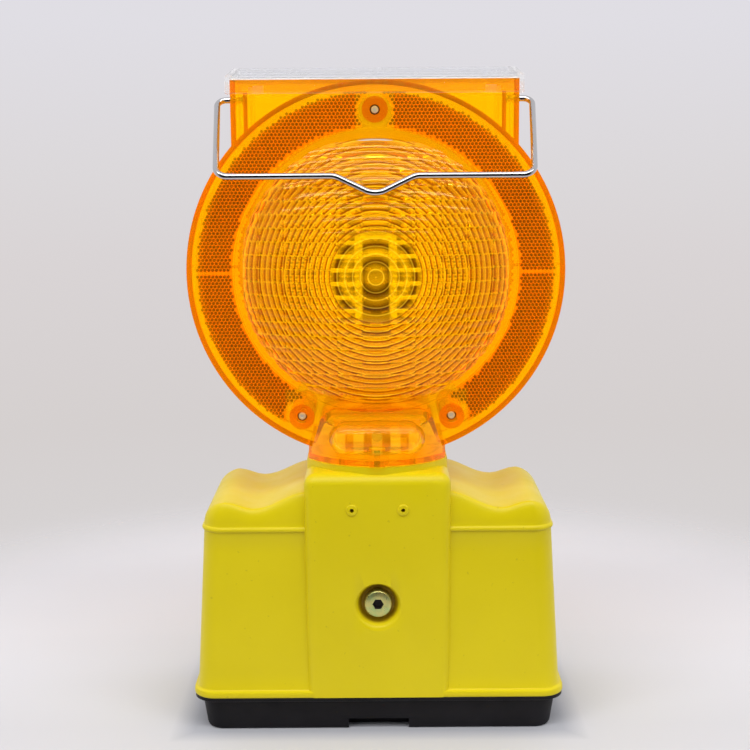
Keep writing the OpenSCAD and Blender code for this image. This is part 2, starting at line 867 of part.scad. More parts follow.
module mounting_bolt() {
    head_h = 4.4;
    socket_r = 5 / 2 / cos(30);
    color("darkkhaki") translate([0, bolt_seat_y, bolt_z]) rotate([90, 0, 0]) {
        difference() {
            union() {
                cylinder(h = head_h - 1.2, r = 7);
                translate([0, 0, head_h - 1.2]) cylinder(h = 1.2, r1 = 7, r2 = 5.8);
            }
            translate([0, 0, head_h - 2.8]) cylinder(h = 4, r = socket_r, $fn = 6);
        }
        translate([0, 0, bolt_seat_y - tower_back - 1]) cylinder(h = tower_back + 1 - bolt_seat_y, r = bolt_shank_r);
        translate([0, 0, bolt_seat_y - tower_back - bolt_free]) {
            translate([0, 0, 1]) cylinder(h = bolt_free - 1, r = bolt_d / 2);
            cylinder(h = 1, r1 = bolt_d / 2 - 1, r2 = bolt_d / 2);
        }
    }
}

module bolt_sleeve() {
    color("silver") translate([0, sleeve_half, bolt_z]) rotate([90, 0, 0]) difference() {
        cylinder(h = 2 * sleeve_half, r = sleeve_r);
        translate([0, 0, -1]) cylinder(h = 2 * sleeve_half + 2, r = bolt_d / 2 + 0.1);
    }
}

// ---- Batteries and contacts ----------------------------------------------------------------

module battery(s) {
    translate([s * (cell_x + cell_side / 2), 0, 0])
        rounded_block(cell_side / 2, cell_side / 2, 6, tray_floor, tray_floor + cell_h);
}

module left_battery() {
    color("steelblue") battery(-1);
}

module right_battery() {
    color("steelblue") battery(1);
}

// Each battery's two contact springs, one in the middle and one in the corner.
module battery_terminals() {
    turns = 4;
    top = board_z - strip_t;
    base = tray_floor + cell_h;
    wire = (top - base) / turns / 2;
    color("silver") for (s = [-1, 1], p = [[33, 0], [12, 22]]) translate([s * (cell_x + p[0]), p[1], base])
        for (i = [0:turns - 1]) translate([0, 0, wire * (2 * i + 1)])
            rotate_extrude() translate([6 - i, 0]) circle(wire);
}

module contact_board() {
    color("peru") difference() {
        translate([-80, -30, board_z]) cube([160, 60, board_t]);
        for (sx = [-1, 1], sy = [-1, 1]) translate([sx * 46, sy * 24, board_z - 1]) cylinder(h = 4, r = 1.4);
    }
}

module contact_strips() {
    color("silver") for (s = [-1, 1]) {
        translate([s * 43 - 8, -8, board_z - strip_t]) cube([16, 16, strip_t]);
        translate([s * 22 - 8, 14, board_z - strip_t]) cube([16, 15, strip_t]);
    }
}

module contact_screws() {
    color("silver") for (sx = [-1, 1], sy = [-1, 1]) translate([sx * 46, sy * 24, board_z]) {
        translate([0, 0, -1.6]) cylinder(h = 1.6, r = 2.4);
        cylinder(h = board_t + 5, r = 1.3);
    }
}

module case_socket() {
    color("white") translate([-7, -5, board_z + board_t]) cube([14, 10, plug_top - 7 - board_z - board_t]);
}

front_lens();
rear_lens();
lens_gasket();
lens_screws();
solar_cover();
solar_panel();
solar_lead();
led_board();
front_led();
rear_led();
led_bracket();
control_board();
control_parts();
photocell();
switch_body();
power_button();
button_nut();
swivel_retainer();
retainer_screws();
swivel_seal();
head_lead();
head_plug();
bail();
case();
base_tray();
mounting_bolt();
bolt_sleeve();
left_battery();
right_battery();
battery_terminals();
contact_board();
contact_strips();
contact_screws();
case_socket();
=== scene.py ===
"""The looks of the barricade warning light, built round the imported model."""
import json
import math
from contextlib import contextmanager

import bmesh
import bpy
import numpy as np
from mathutils import Matrix, Vector


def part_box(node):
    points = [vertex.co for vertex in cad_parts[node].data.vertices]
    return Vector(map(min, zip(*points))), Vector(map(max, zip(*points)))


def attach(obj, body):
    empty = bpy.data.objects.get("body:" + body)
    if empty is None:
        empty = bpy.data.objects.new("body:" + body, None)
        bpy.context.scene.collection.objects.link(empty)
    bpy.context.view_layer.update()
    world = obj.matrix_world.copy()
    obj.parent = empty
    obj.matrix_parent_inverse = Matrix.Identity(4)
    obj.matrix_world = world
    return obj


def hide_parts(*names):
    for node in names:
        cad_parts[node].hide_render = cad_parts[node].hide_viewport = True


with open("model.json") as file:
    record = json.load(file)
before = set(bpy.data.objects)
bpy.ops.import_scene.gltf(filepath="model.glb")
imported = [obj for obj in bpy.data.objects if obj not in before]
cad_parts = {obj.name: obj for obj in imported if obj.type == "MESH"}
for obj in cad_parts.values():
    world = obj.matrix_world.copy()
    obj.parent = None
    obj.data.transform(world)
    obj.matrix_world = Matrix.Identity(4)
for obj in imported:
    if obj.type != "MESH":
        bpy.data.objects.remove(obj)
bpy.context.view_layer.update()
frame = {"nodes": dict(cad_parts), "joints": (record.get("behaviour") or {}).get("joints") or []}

MM = 0.001
PI = math.pi

# ---- Sizes, in millimetres, some worked out from the imported model ----


def box_mm(node):
    low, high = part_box(node)
    return np.array(low) / MM, np.array(high) / MM


CASE_LOW, CASE_HIGH = box_mm("case")
TRAY_HIGH = box_mm("base_tray")[1]
BOLT_LOW, BOLT_HIGH = box_mm("mounting_bolt")
PANEL_LOW, PANEL_HIGH = box_mm("solar_panel")

LENS_Z = 233.5
LENS_WALL = 2.5
FACE = 24.0
STEP_RISE = 2.5
DOME_R = 68.0
CUSHION_CROWN = 0.16
DOME_APEX = -box_mm("front_lens")[0][1] - CUSHION_CROWN
DOME_RISE = DOME_APEX - FACE - STEP_RISE
DOME_SPHERE = (DOME_R**2 + DOME_RISE**2) / (2 * DOME_RISE)
DOME_CENTRE = DOME_APEX - DOME_SPHERE
REFLEX_R = (72.0, 89.0)
SCREW_AT = ((0.0, 80.5), (-38.3, -73.8), (38.3, -73.8))
SCREW_LAND = 8.6
ROW_PITCH = math.radians(3.26)
COLUMN_PITCH = math.radians(6.32)
PILLOW = 0.5
BULLSEYE = (4.3, 7.4, 10.8, 14.0, 17.0, 19.7, 22.2)
RING_PITCH = 2.45
CELL_X, CELL_Z = 12.8, 6.6
STAGGER = 1.25

# ---- Mesh helpers ----


def new_object(name, data):
    obj = bpy.data.objects.new(name, data)
    bpy.context.scene.collection.objects.link(obj)
    return obj


def mesh_object(name, verts, faces, scale=MM):
    """Makes a mesh object at the origin from points in millimetres."""
    mesh = bpy.data.meshes.new(name)
    mesh.from_pydata([tuple(float(c) * scale for c in v) for v in verts], [], faces)
    mesh.validate()
    return new_object(name, mesh)


@contextmanager
def editing(mesh):
    bm = bmesh.new()
    bm.from_mesh(mesh)
    yield bm
    bm.to_mesh(mesh)
    bm.free()


def clean(obj, distance=0.004 * MM):
    """Welds doubled points and turns all faces outwards."""
    with editing(obj.data) as bm:
        bmesh.ops.remove_doubles(bm, verts=bm.verts, dist=distance)
        bmesh.ops.dissolve_degenerate(bm, dist=distance / 4, edges=bm.edges)
        bmesh.ops.recalc_face_normals(bm, faces=bm.faces)
    return obj


def shade(obj, angle=32):
    """Smooth shading that keeps edges sharper than the angle."""
    mesh = obj.data
    mesh.polygons.foreach_set("use_smooth", np.ones(len(mesh.polygons), bool))
    mesh.set_sharp_from_angle(angle=math.radians(angle))
    mesh.update()
    return obj


def combine(target, other, operation):
    """Applies a boolean of other to target, and deletes other."""
    modifier = target.modifiers.new("combine", "BOOLEAN")
    modifier.operation = operation
    modifier.solver = "MANIFOLD"
    modifier.object = other
    bpy.context.view_layer.update()
    graph = bpy.context.evaluated_depsgraph_get()
    result = bpy.data.meshes.new_from_object(target.evaluated_get(graph), depsgraph=graph)
    target.modifiers.clear()
    old = target.data
    name = old.name
    target.data = result
    bpy.data.meshes.remove(old)
    result.name = name
    spare = other.data
    bpy.data.objects.remove(other)
    bpy.data.meshes.remove(spare)
    return target


def add(target, *others):
    for other in others:
        combine(target, other, "UNION")
    return target


def cut(target, *others):
    for other in others:
        combine(target, other, "DIFFERENCE")
    return target


def bands(count, rows, base=0):
    """Quads between closed rows of points, from the point numbered base on."""
    starts = range(base, base + (rows - 1) * count, count)
    return [(a + k, a + (k + 1) % count, a + count + (k + 1) % count, a + count + k)
            for a in starts for k in range(count)]


def prism(count, rows=2, base=0):
    """The bands between the rows, with both ends closed."""
    last = base + (rows - 1) * count
    return bands(count, rows, base) + [tuple(reversed(range(base, base + count))),
                                       tuple(range(last, last + count))]


def loft(name, rows):
    """A closed solid through rows of points, all of the same length."""
    verts = [p for row in rows for p in row]
    return clean(mesh_object(name, verts, prism(len(rows[0]), len(rows))))


def ring(radius, count, turn=0.0):
    """Points (x, y) evenly round a circle."""
    angles = [2 * PI * k / count + turn for k in range(count)]
    return [(radius * math.cos(a), radius * math.sin(a)) for a in angles]


def lathe(name, profile, sides=96, axis="z", at=(0, 0, 0)):
    """Turns a closed profile of (radius, height) about an axis. A zero radius closes on the axis."""
    verts, rings = [], []
    for r, h in profile:
        if abs(r) < 1e-9:
            rings.append([len(verts)])
            verts.append((0.0, 0.0, h))
        else:
            rings.append(list(range(len(verts), len(verts) + sides)))
            verts += [(x, y, h) for x, y in ring(r, sides)]
    faces = []
    for i in range(len(rings)):
        a, b = rings[i], rings[(i + 1) % len(rings)]
        if len(a) == 1 and len(b) == 1:
            continue
        for k in range(sides):
            n = (k + 1) % sides
            if len(a) == 1:
                faces.append((a[0], b[n], b[k]))
            elif len(b) == 1:
                faces.append((a[k], a[n], b[0]))
            else:
                faces.append((a[k], a[n], b[n], b[k]))
    turned = []
    for x, y, z in verts:
        if axis == "y":
            x, y, z = x, z, -y
        elif axis == "-y":
            x, y, z = x, -z, y
        elif axis == "x":
            x, y, z = z, y, -x
        turned.append((x + at[0], y + at[1], z + at[2]))
    return clean(mesh_object(name, turned, faces))


def rod(name, radius, low, high, sides=48, axis="z", at=(0, 0, 0)):
    return lathe(name, [(0, low), (radius, low), (radius, high), (0, high)], sides, axis, at)


def block(name, low, high):
    """A plain cutter or filler block between two corners."""
    (x0, y0, z0), (x1, y1, z1) = low, high
    corners = [(x0, y0), (x1, y0), (x1, y1), (x0, y1)]
    return loft(name, [[(x, y, z) for x, y in corners] for z in (z0, z1)])


def rounded_loop(hx, hy, r, nx, ny, nc, centre_y=0.0):
    """Points (x, y) round a rounded rectangle, with the same count whatever its size."""
    r = max(r, 0.001)
    ends = [(hx, -hy + r), (hx, hy - r), (hx - r, hy), (-hx + r, hy),
            (-hx, hy - r), (-hx, -hy + r), (-hx + r, -hy), (hx - r, -hy)]
    centres = [(hx - r, hy - r), (-hx + r, hy - r), (-hx + r, -hy + r), (hx - r, -hy + r)]
    points = []
    for quarter, (cx, cy) in enumerate(centres):
        (ax, ay), (bx, by) = ends[2 * quarter:2 * quarter + 2]
        n = nx if quarter % 2 else ny
        points += [(ax + (bx - ax) * (i / n), ay + (by - ay) * (i / n)) for i in range(n)]
        turns = [math.radians(90 * quarter + 90 * i / nc) for i in range(nc)]
        points += [(cx + r * math.cos(a), cy + r * math.sin(a)) for a in turns]
    return [(x, y + centre_y) for x, y in points]


def top_grid(hx, hy, height, nx, ny, centre_y=0.0):
    """Points and quads of a sheet that closes a rounded_loop whose corners have no radius."""
    verts = [(x, y, height(x)) for y in (centre_y - hy + 2 * hy * j / ny for j in range(ny + 1))
             for x in (-hx + 2 * hx * i / nx for i in range(nx + 1))]
    w = nx + 1
    faces = [(j * w + i, j * w + i + 1, (j + 1) * w + i + 1, (j + 1) * w + i)
             for j in range(ny) for i in range(nx)]
    return verts, faces


def capped(name, rows, grid):
    """A loft whose first row is a flat face and whose last row is closed by a grid."""
    count = len(rows[0])
    verts = [p for row in rows for p in row]
    faces = [tuple(reversed(range(count)))] + bands(count, len(rows))
    base = len(verts)
    verts += grid[0]
    faces += [tuple(base + k for k in f) for f in grid[1]]
    return clean(mesh_object(name, verts, faces))


def cad_copy(node, name):
    """A welded copy of a CAD node's mesh, to build on."""
    source = frame["nodes"][node].data
    points = [v.co[:] for v in source.vertices]
    return clean(mesh_object(name, points, [tuple(p.vertices) for p in source.polygons], 1.0), 0.001 * MM)


# ---- Materials ----


class Nodes:
    """A node tree with a few procedural helpers."""

    def __init__(self, tree):
        self.tree = tree

    def node(self, kind, **values):
        made = self.tree.nodes.new(kind)
        for key, value in values.items():
            if hasattr(made, key):
                setattr(made, key, value)
            else:
                made.inputs[key.replace("_", " ")].default_value = value
        return made

    def link(self, output, target):
        self.tree.links.new(output, target)

    def ramp(self, source, low, high, a, b):
        """Maps a value from low..high to a..b."""
        made = self.node("ShaderNodeMapRange", From_Min=low, From_Max=high, To_Min=a, To_Max=b)
        self.link(source, made.inputs["Value"])
        return made.outputs["Result"]

    def stops(self, value, *points):
        """A colour ramp from points of (position, colour)."""
        ramp = self.node("ShaderNodeValToRGB")
        self.link(value, ramp.inputs["Fac"])
        elements = ramp.color_ramp.elements
        while len(elements) < len(points):
            elements.new(0.5)
        for element, (position, colour) in zip(elements, points):
            element.position = position
            element.color = (*colour, 1)
        return ramp.outputs["Color"]

    def surface(self, shader):
        self.link(shader, self.tree.nodes["Material Output"].inputs["Surface"])


class Shader(Nodes):
    """One Principled material."""

    def __init__(self, name, colour, roughness=0.4, **inputs):
        self.material = bpy.data.materials.new(name)
        self.material.use_nodes = True
        super().__init__(self.material.node_tree)
        self.main = self.tree.nodes["Principled BSDF"]
        self.main.inputs["Base Color"].default_value = (*colour, 1.0)
        self.main.inputs["Roughness"].default_value = roughness
        for key, value in inputs.items():
            self.main.inputs[key.replace("_", " ")].default_value = value
        self.place = self.tree.nodes.new("ShaderNodeTexCoord").outputs["Object"]

    def xyz(self):
        """A point's place on the object, as three values in metres."""
        split = self.node("ShaderNodeSeparateXYZ")
        self.link(self.place, split.inputs["Vector"])
        return list(split.outputs)

    def noise(self, scale, detail=3.0):
        made = self.node("ShaderNodeTexNoise", Scale=scale, Detail=detail)
        self.link(self.place, made.inputs["Vector"])
        return made.outputs["Fac"]

    def length(self, vector):
        made = self.node("ShaderNodeVectorMath", operation="LENGTH")
        self.link(vector, made.inputs[0])
        return made.outputs["Value"]

    def math(self, operation, a, b=None):
        """One sum on node values or numbers."""
        made = self.node("ShaderNodeMath", operation=operation)
        for socket, value in zip(made.inputs, (a, b)):
            if isinstance(value, (int, float)):
                socket.default_value = value
            elif value is not None:
                self.link(value, socket)
        return made.outputs["Value"]

    def times(self, value, *factors):
        for factor in factors:
            value = self.math("MULTIPLY", value, factor)
        return value

    def minus(self, a, b):
        return self.math("SUBTRACT", a, b)

    def size(self, a):
        return self.math("ABSOLUTE", a)

    def bands(self, value, *bands):
        """White where the value lies in a band of (start, full, still full, end), and black elsewhere."""
        return self.stops(value, *((at, (lit,) * 3) for band in bands for at, lit in zip(band, (0, 1, 1, 0))))

    def mix(self, factor, a, b):
        made = self.node("ShaderNodeMix", data_type="RGBA")
        self.link(factor, made.inputs["Factor"])
        for key, value in ((6, a), (7, b)):
            if isinstance(value, tuple):
                made.inputs[key].default_value = (*value, 1.0)
            else:
                self.link(value, made.inputs[key])
        return made.outputs[2]

    def mottle(self, scale, detail, a, b, low=0.35, high=0.65):
        """Two tones in soft spots."""
        return self.mix(self.ramp(self.noise(scale, detail), low, high, 0, 1), a, b)

    def colour(self, source):
        self.link(source, self.main.inputs["Base Color"])

    def polish(self, scale, detail, a, b, low=0.3, high=0.7):
        """A roughness that varies from a to b."""
        self.link(self.ramp(self.noise(scale, detail), low, high, a, b), self.main.inputs["Roughness"])

    def bump(self, scale, detail, depth, strength):
        made = self.node("ShaderNodeBump", Strength=strength, Distance=depth)
        self.link(self.noise(scale, detail), made.inputs["Height"])
        previous = self.main.inputs["Normal"].links
        if previous:
            self.link(previous[0].from_socket, made.inputs["Normal"])
        self.link(made.outputs["Normal"], self.main.inputs["Normal"])

    def absorb(self, colour, density):
        volume = self.node("ShaderNodeVolumeAbsorption", Density=density, Color=(*colour, 1.0))
        self.link(volume.outputs["Volume"], self.tree.nodes["Material Output"].inputs["Volume"])
        return self

    def blend(self, factor, a, b):
        """Mixes two shaders on the surface."""
        mix = self.node("ShaderNodeMixShader")
        for source, target in zip((factor, a, b), mix.inputs):
            self.link(source, target)
        self.surface(mix.outputs["Shader"])

    def cast(self, colour):
        """Tints the light that passes, instead of leaving what lies behind in full shadow."""
        shadow = self.node("ShaderNodeLightPath").outputs["Is Shadow Ray"]
        clear = self.node("ShaderNodeBsdfTransparent", Color=(*colour, 1.0))
        self.blend(shadow, self.main.outputs["BSDF"], clear.outputs["BSDF"])
        return self


def finish(name, colour, roughness, tones=None, polish=None, bump=None, **inputs):
    """An even finish, with any mottling, varying roughness and fine bumps."""
    s = Shader(name, colour, roughness, **inputs)
    if tones:
        s.colour(s.mottle(*tones))
    if polish:
        s.polish(*polish)
    if bump:
        s.bump(*bump)
    return s.material


def moulded(name, colour, roughness=0.42, vary=0.18):
    """A plain moulded or coated finish with slight mottling and grain."""
    dark, light = (tuple(min(1.0, c * scale) for c in colour) for scale in (1 - vary, 1 + vary))
    return finish(name, colour, roughness, (120, 3, dark, light), (300, 3, roughness * 0.8, roughness * 1.2),
                  (1500, 2, 0.00004, 0.4))


def steel(name="bright_zinc", metallic=0.75, glow=0.0):
    return finish(name, (0.86, 0.86, 0.87), 0.4, None, (900, 3, 0.32, 0.5), Metallic=metallic,
                  Emission_Strength=glow, Emission_Color=(0.8, 0.84, 0.9, 1.0))


def amber_plastic():
    """Amber polycarbonate, tinted by zone, with the pattern that the rings and cells make of the light
    painted into its colour, and a painted glow that stands in for the light it gathers.
    """
    s = Shader("amber_polycarbonate", (1.0, 0.74, 0.01), 0.04, Transmission_Weight=0.88, IOR=1.5,
               Specular_IOR_Level=0.22, Specular_Tint=(0.7, 0.5, 0.28, 1.0), Emission_Strength=0.5)
    x, y, height = s.xyz()
    z = s.minus(height, LENS_Z * MM)
    across = s.size(x)

    def cell(value, pitch):
        return s.minus(s.math("FRACT", s.math("ADD", s.math("DIVIDE", value, pitch * MM), 0.5)), 0.5)

    def radius(a, b):
        return s.math("SQRT", s.math("ADD", s.times(a, a), s.times(b, b)))

    cell_x, cell_z = cell(x, CELL_X), cell(z, CELL_Z)
    plain = radius(x, z)
    outside = s.ramp(plain, BULLSEYE[-1] * MM, (BULLSEYE[-1] + 4) * MM, 0, STAGGER * MM)
    shifted = radius(s.minus(x, s.times(cell_x, outside)), s.minus(z, s.times(cell_z, outside)))
    phase = s.math("FRACT", s.math("DIVIDE", s.minus(shifted, BULLSEYE[-1] * MM), RING_PITCH * MM))
    # Painted light and shade in each ring: a dark line, then orange, then a bright yellow glint. The cell
    # rows get a painted yellow highlight.
    rings = s.stops(phase, (0.0, (0.42, 0.13, 0.0)), (0.16, (0.6, 0.24, 0.0)), (0.34, (1.0, 0.7, 0.01)),
                    (0.74, (1.0, 0.73, 0.01)), (0.9, (1.0, 0.93, 0.05)), (0.97, (1.0, 0.8, 0.02)))
    row = s.size(cell_z)
    row_glint = s.ramp(row, 0.43, 0.48, 0, 0.8)
    rings = s.mix(row_glint, rings, (1.0, 0.82, 0.02))

    # Painted shade: dark areas beside the light source, and above and below it.
    inside_row = s.ramp(row, 0.3, 0.37, 1, 0)
    beside = s.bands(plain, (0.0112, 0.012, 0.0146, 0.015), (0.0156, 0.016, 0.0196, 0.0206))
    beside = s.times(beside, inside_row, s.ramp(across, 0.0098, 0.0106, 0, 1))
    above = s.bands(plain, (0.0064, 0.007, 0.008, 0.0086), (0.0138, 0.0144, 0.016, 0.0166),
                    (0.0204, 0.0209, 0.0218, 0.0222))
    above = s.times(above, s.ramp(across, 0.0058, 0.0068, 1, 0))
    shade_patches = s.times(s.math("MAXIMUM", beside, above), s.ramp(s.noise(220, 2), 0.35, 0.6, 0.94, 1.0))
    yellow = s.mix(shade_patches, (1.0, 0.79, 0.01), (0.13, 0.032, 0.0))
    off_centre = s.ramp(plain, 0.0218, 0.0226, 0, 1)
    bullseye = s.mix(off_centre, yellow, rings)

    tone = s.mottle(35, 2, (1.0, 0.725, 0.008), (1.0, 0.755, 0.012))
    box = s.times(s.ramp(plain, 0.0935, 0.0945, 0, 1), s.ramp(height, 0.27, 0.28, 0, 1))
    tone = s.mix(box, tone, (1.0, 0.8, 0.008))
    tone = s.mix(s.ramp(height, 0.3215, 0.3225, 0, 0.7), tone, (1.0, 0.55, 0.01))
    reflex_zone = s.times(s.ramp(plain, 0.0716, 0.0722, 0, 1), s.ramp(plain, 0.0885, 0.0895, 1, 0))
    clear_of_neck = s.math("MAXIMUM", s.ramp(across, 0.045, 0.047, 0, 1), s.ramp(z, -0.06, -0.058, 0, 1))
    clear_of_boss = s.times(clear_of_neck, s.ramp(across, 0.0092, 0.01, 0, 1))
    reflex_zone = s.times(reflex_zone, clear_of_boss)
    tone = s.mix(reflex_zone, tone, (1.0, 0.5, 0.004))
    # Painted light: the thin places between the ribs inside the neck's bulge are painted paler and given a
    # glow.
    rib = s.ramp(s.size(cell(x, 9.2)), 0.24, 0.32, 0.85, 0)
    high = s.ramp(s.size(s.minus(height, 0.1495)), 0.0048, 0.0056, 1, 0)
    bulge = s.times(s.ramp(across, 0.021, 0.0216, 1, 0), s.ramp(y, -0.031, -0.029, 1, 0))
    painted_rib_glow = s.times(rib, high, bulge)
    tone = s.mix(painted_rib_glow, tone, (1.0, 0.86, 0.05))
    s.colour(s.mix(s.ramp(plain, 0.0664, 0.0668, 0, 1), bullseye, tone))
    s.polish(260, 2, 0.02, 0.07, 0.35)
    # Painted glow, in the emission colour: a glint in each ring and along the cell rows, and thin bright
    # circles and a dark bar in the centre.
    lit_rings = s.stops(phase, (0.0, (0.02, 0.004, 0.0)), (0.34, (0.06, 0.02, 0.0)),
                        (0.8, (0.07, 0.025, 0.0)), (0.9, (0.34, 0.21, 0.01)), (0.97, (0.08, 0.03, 0.0)))
    lit_rings = s.mix(row_glint, lit_rings, (0.22, 0.12, 0.0))
    lit_centre = s.mix(shade_patches, (0.31, 0.175, 0.0), (0.04, 0.009, 0.0))
    circle = s.ramp(s.size(cell(s.minus(plain, 0.0038), 3.75)), 0.06, 0.1, 1, 0)
    bar = s.times(s.ramp(across, 0.0062, 0.007, 0.8, 0.0), s.ramp(z, 0.003, 0.005, 1, 0))
    lit_centre = s.mix(bar, lit_centre, (0.05, 0.015, 0.0))
    lit_centre = s.mix(circle, lit_centre, (0.5, 0.34, 0.02))
    dome = s.mix(off_centre, lit_centre, lit_rings)
    # Painted glow by radius outside the dome, and over the box and the neck's ribs.
    painted_glow_zones = s.stops(plain, (0.0664, (0.08, 0.035, 0.0)), (0.0716, (0.06, 0.025, 0.0)),
                    (0.0722, (0.02, 0.005, 0.0)), (0.088, (0.02, 0.005, 0.0)),
                    (0.09, (0.16, 0.09, 0.0)), (0.0925, (0.15, 0.06, 0.0)))
    painted_glow_zones = s.mix(box, painted_glow_zones, (0.2, 0.075, 0.0))
    painted_glow_zones = s.mix(painted_rib_glow, painted_glow_zones, (0.26, 0.17, 0.005))
    s.link(s.mix(s.ramp(plain, 0.0663, 0.0665, 0, 1), dome, painted_glow_zones), s.main.inputs["Emission Color"])
    return s.absorb((0.9999, 0.93, 0.2), 450).cast((0.86, 0.77, 0.42)).material


def clear_plastic(name, alpha, roughness):
    s = Shader(name, (0.98, 0.99, 1.0), roughness, Transmission_Weight=0.99, IOR=1.2, Alpha=alpha)
    s.polish(180, 2, roughness - 0.02, roughness + 0.03, 0.35)
    return s.absorb((0.96, 0.985, 1.0), 6).cast((0.97, 0.98, 1.0)).material


def case_plastic():
    """Yellow moulding with a few specks, and a painted shade, dark brown, at the bottom of the bolt's recess.
    """
    s = Shader("yellow_polypropylene", (0.7, 0.57, 0.003), 0.4, Specular_IOR_Level=0.3)
    tone = s.mottle(14, 3, (0.685, 0.555, 0.002), (0.725, 0.59, 0.004))
    flat = s.node("ShaderNodeMapping", Location=(0, 0, -BOLT_Z * MM), Scale=(1, 0, 1))
    s.link(s.place, flat.inputs["Vector"])
    # Painted shade: dark brown within about 10 mm of the bolt's axis, at the front of the case.
    recess_shade = s.ramp(s.length(flat.outputs["Vector"]), 0.0097, 0.0106, 0.9, 0)
    tone = s.mix(s.times(s.ramp(s.xyz()[1], -0.03, -0.02, 1, 0), recess_shade), tone, (0.3, 0.17, 0.002))
    s.colour(s.mix(s.ramp(s.noise(420, 1), 0.76, 0.79, 0, 0.2), tone, (0.2, 0.15, 0.02)))
    s.polish(60, 4, 0.33, 0.48)
    s.bump(2600, 2, 0.00004, 0.5)
    s.bump(160, 3, 0.0001, 0.25)
    return s.material


# ---- Case ----

FLANGE_OUT = 2.0
FOOT_X = CASE_HIGH[0] - FLANGE_OUT
FOOT_Y = CASE_HIGH[1] - FLANGE_OUT
CASE_BOTTOM = CASE_LOW[2]
DRAFT = math.tan(math.radians(3.1))
CORNER = 10.0
BEAD = (104.0, 106.4)
CASE_WALL = 2.5
TOWER_X = 37.0
TOWER_TOP = 134.3
TOWER_FRONT = (CASE_LOW[1], -43.4)
TOWER_BACK = CASE_HIGH[1]
TOWER_FILLET = 6.0
PAD_R = 40.4
PAD_TOP = CASE_HIGH[2]
SOCKET_R = 24.3
BOLT_Z = (BOLT_LOW[2] + BOLT_HIGH[2]) / 2
BOLT_SEAT = -39.2
VENT_AT = (12.9, 116.1)


def ease(a, b, t):
    t = min(max(t, 0.0), 1.0)
    return a + (b - a) * (1 - math.cos(PI * t)) / 2


def crest(x, drop=0.0):
    """Height of the shoulders' top across the case: down from the tower, up to the hump."""
    x = abs(x)
    if x < 63.0:
        return ease(124.0, 115.5, (x - 35) / 28) - drop
    return ease(115.5, 118.8, (x - 63) / 14) - drop


def body_solid(inset, name):
    """The case without its tower. The outside has a flange and a bead, and the inside is plain."""
    lean = lambda z: DRAFT * (z - CASE_BOTTOM)

    def row(z, out):
        hx, hy = FOOT_X - lean(z) - inset + out, FOOT_Y - lean(z) - inset + out
        return [(x, y, z) for x, y in rounded_loop(hx, hy, CORNER - inset * 0.6 + out, 44, 14, 10)]

    z0 = CASE_BOTTOM
    if inset:
        rows = [row(z, 0) for z in np.linspace(z0 - 1, BEAD[1], 8)]
    else:
        flange = FLANGE_OUT
        steps = [(0, flange - 0.6), (0.25, flange - 0.2), (0.7, flange), (2.7, flange), (3.15, flange - 0.2),
                 (3.4, flange - 0.7), (3.55, 0.55), (3.9, 0.18), (4.6, 0.0)]
        rows = [row(z0 + dz, out) for dz, out in steps]
        rows += [row(z, 0) for z in np.linspace(z0 + 12, BEAD[0] - 0.6, 8)]
        steps = [(-0.25, 0.12), (0.1, 0.6), (0.6, 0.95), (1.2, 1.05), (1.8, 0.95), (2.3, 0.6), (2.65, 0.12),
                 (3.0, 0)]
        rows += [row(BEAD[0] + dz, out) for dz, out in steps]
    top = rows[-1][0][2]
    hx0, hy0 = FOOT_X - lean(top) - inset, FOOT_Y - lean(top) - inset
    round_x, round_y = 11.8, 3.6
    for k in range(1, 13):
        a = math.radians(90 * k / 12)
        hx, hy = hx0 - round_x * (1 - math.cos(a)), hy0 - round_y * (1 - math.cos(a))
        loop = rounded_loop(hx, hy, (CORNER - inset * 0.6) * math.cos(a), 44, 14, 10)
        rows.append([(x, y, top + (crest(x, inset) - top) * math.sin(a)) for x, y in loop])
    grid = top_grid(hx0 - round_x, hy0 - round_y, lambda x: crest(x, inset), 44, 14)
    return capped(name, rows, grid)


def tower_front(z):
    t = (z - CASE_BOTTOM) / (TOWER_TOP - TOWER_FILLET - CASE_BOTTOM)
    return TOWER_FRONT[0] + (TOWER_FRONT[1] - TOWER_FRONT[0]) * t


def tower_solid(inset, name):
    top = TOWER_TOP - (3.0 if inset else 0.0)
    corner = 4.5 - inset * 0.6
    foot = CASE_BOTTOM + 0.15 - inset

    def row(z, shrink, radius):
        front, back = tower_front(min(z, top - TOWER_FILLET)) + inset + shrink, TOWER_BACK - inset - shrink
        hx = TOWER_X - 0.4 + 0.4 * (z - CASE_BOTTOM) / 100 - inset - shrink
        loop = rounded_loop(hx, (back - front) / 2, radius, 20, 20, 8, (front + back) / 2)
        return [(x, y, z) for x, y in loop]

    rows = [row(z, 0, corner) for z in np.linspace(foot, top - TOWER_FILLET, 9)]
    for k in range(1, 9):
        a = math.radians(90 * k / 8)
        z = top - TOWER_FILLET + TOWER_FILLET * math.sin(a)
        rows.append(row(z, TOWER_FILLET * (1 - math.cos(a)), corner * math.cos(a)))
    last = rows[-1]
    xs, ys = [p[0] for p in last], [p[1] for p in last]
    grid = top_grid(max(xs), (max(ys) - min(ys)) / 2, lambda x: top, 20, 20, (max(ys) + min(ys)) / 2)
    return capped(name, rows, grid)


def swivel_pad():
    """The raised collar under the neck: a disc with its sides cut to the tower's width."""
    def row(z, shrink):
        r, cut_x = PAD_R - shrink, TOWER_X - 0.7 - shrink
        edge = math.degrees(math.acos(cut_x / r))
        arc = [math.radians(edge + (180 - 2 * edge) * i / 40) for i in range(41)]
        back = [(r * math.cos(a), r * math.sin(a), z) for a in arc]
        return back + [(-x, -y, z) for x, y, z in back]

    steps = ((-9, 0), (-0.9, 0), (-0.4, 0.12), (-0.12, 0.4), (0, 0.9))
    return loft("pad", [row(PAD_TOP + dz, shrink) for dz, shrink in steps])


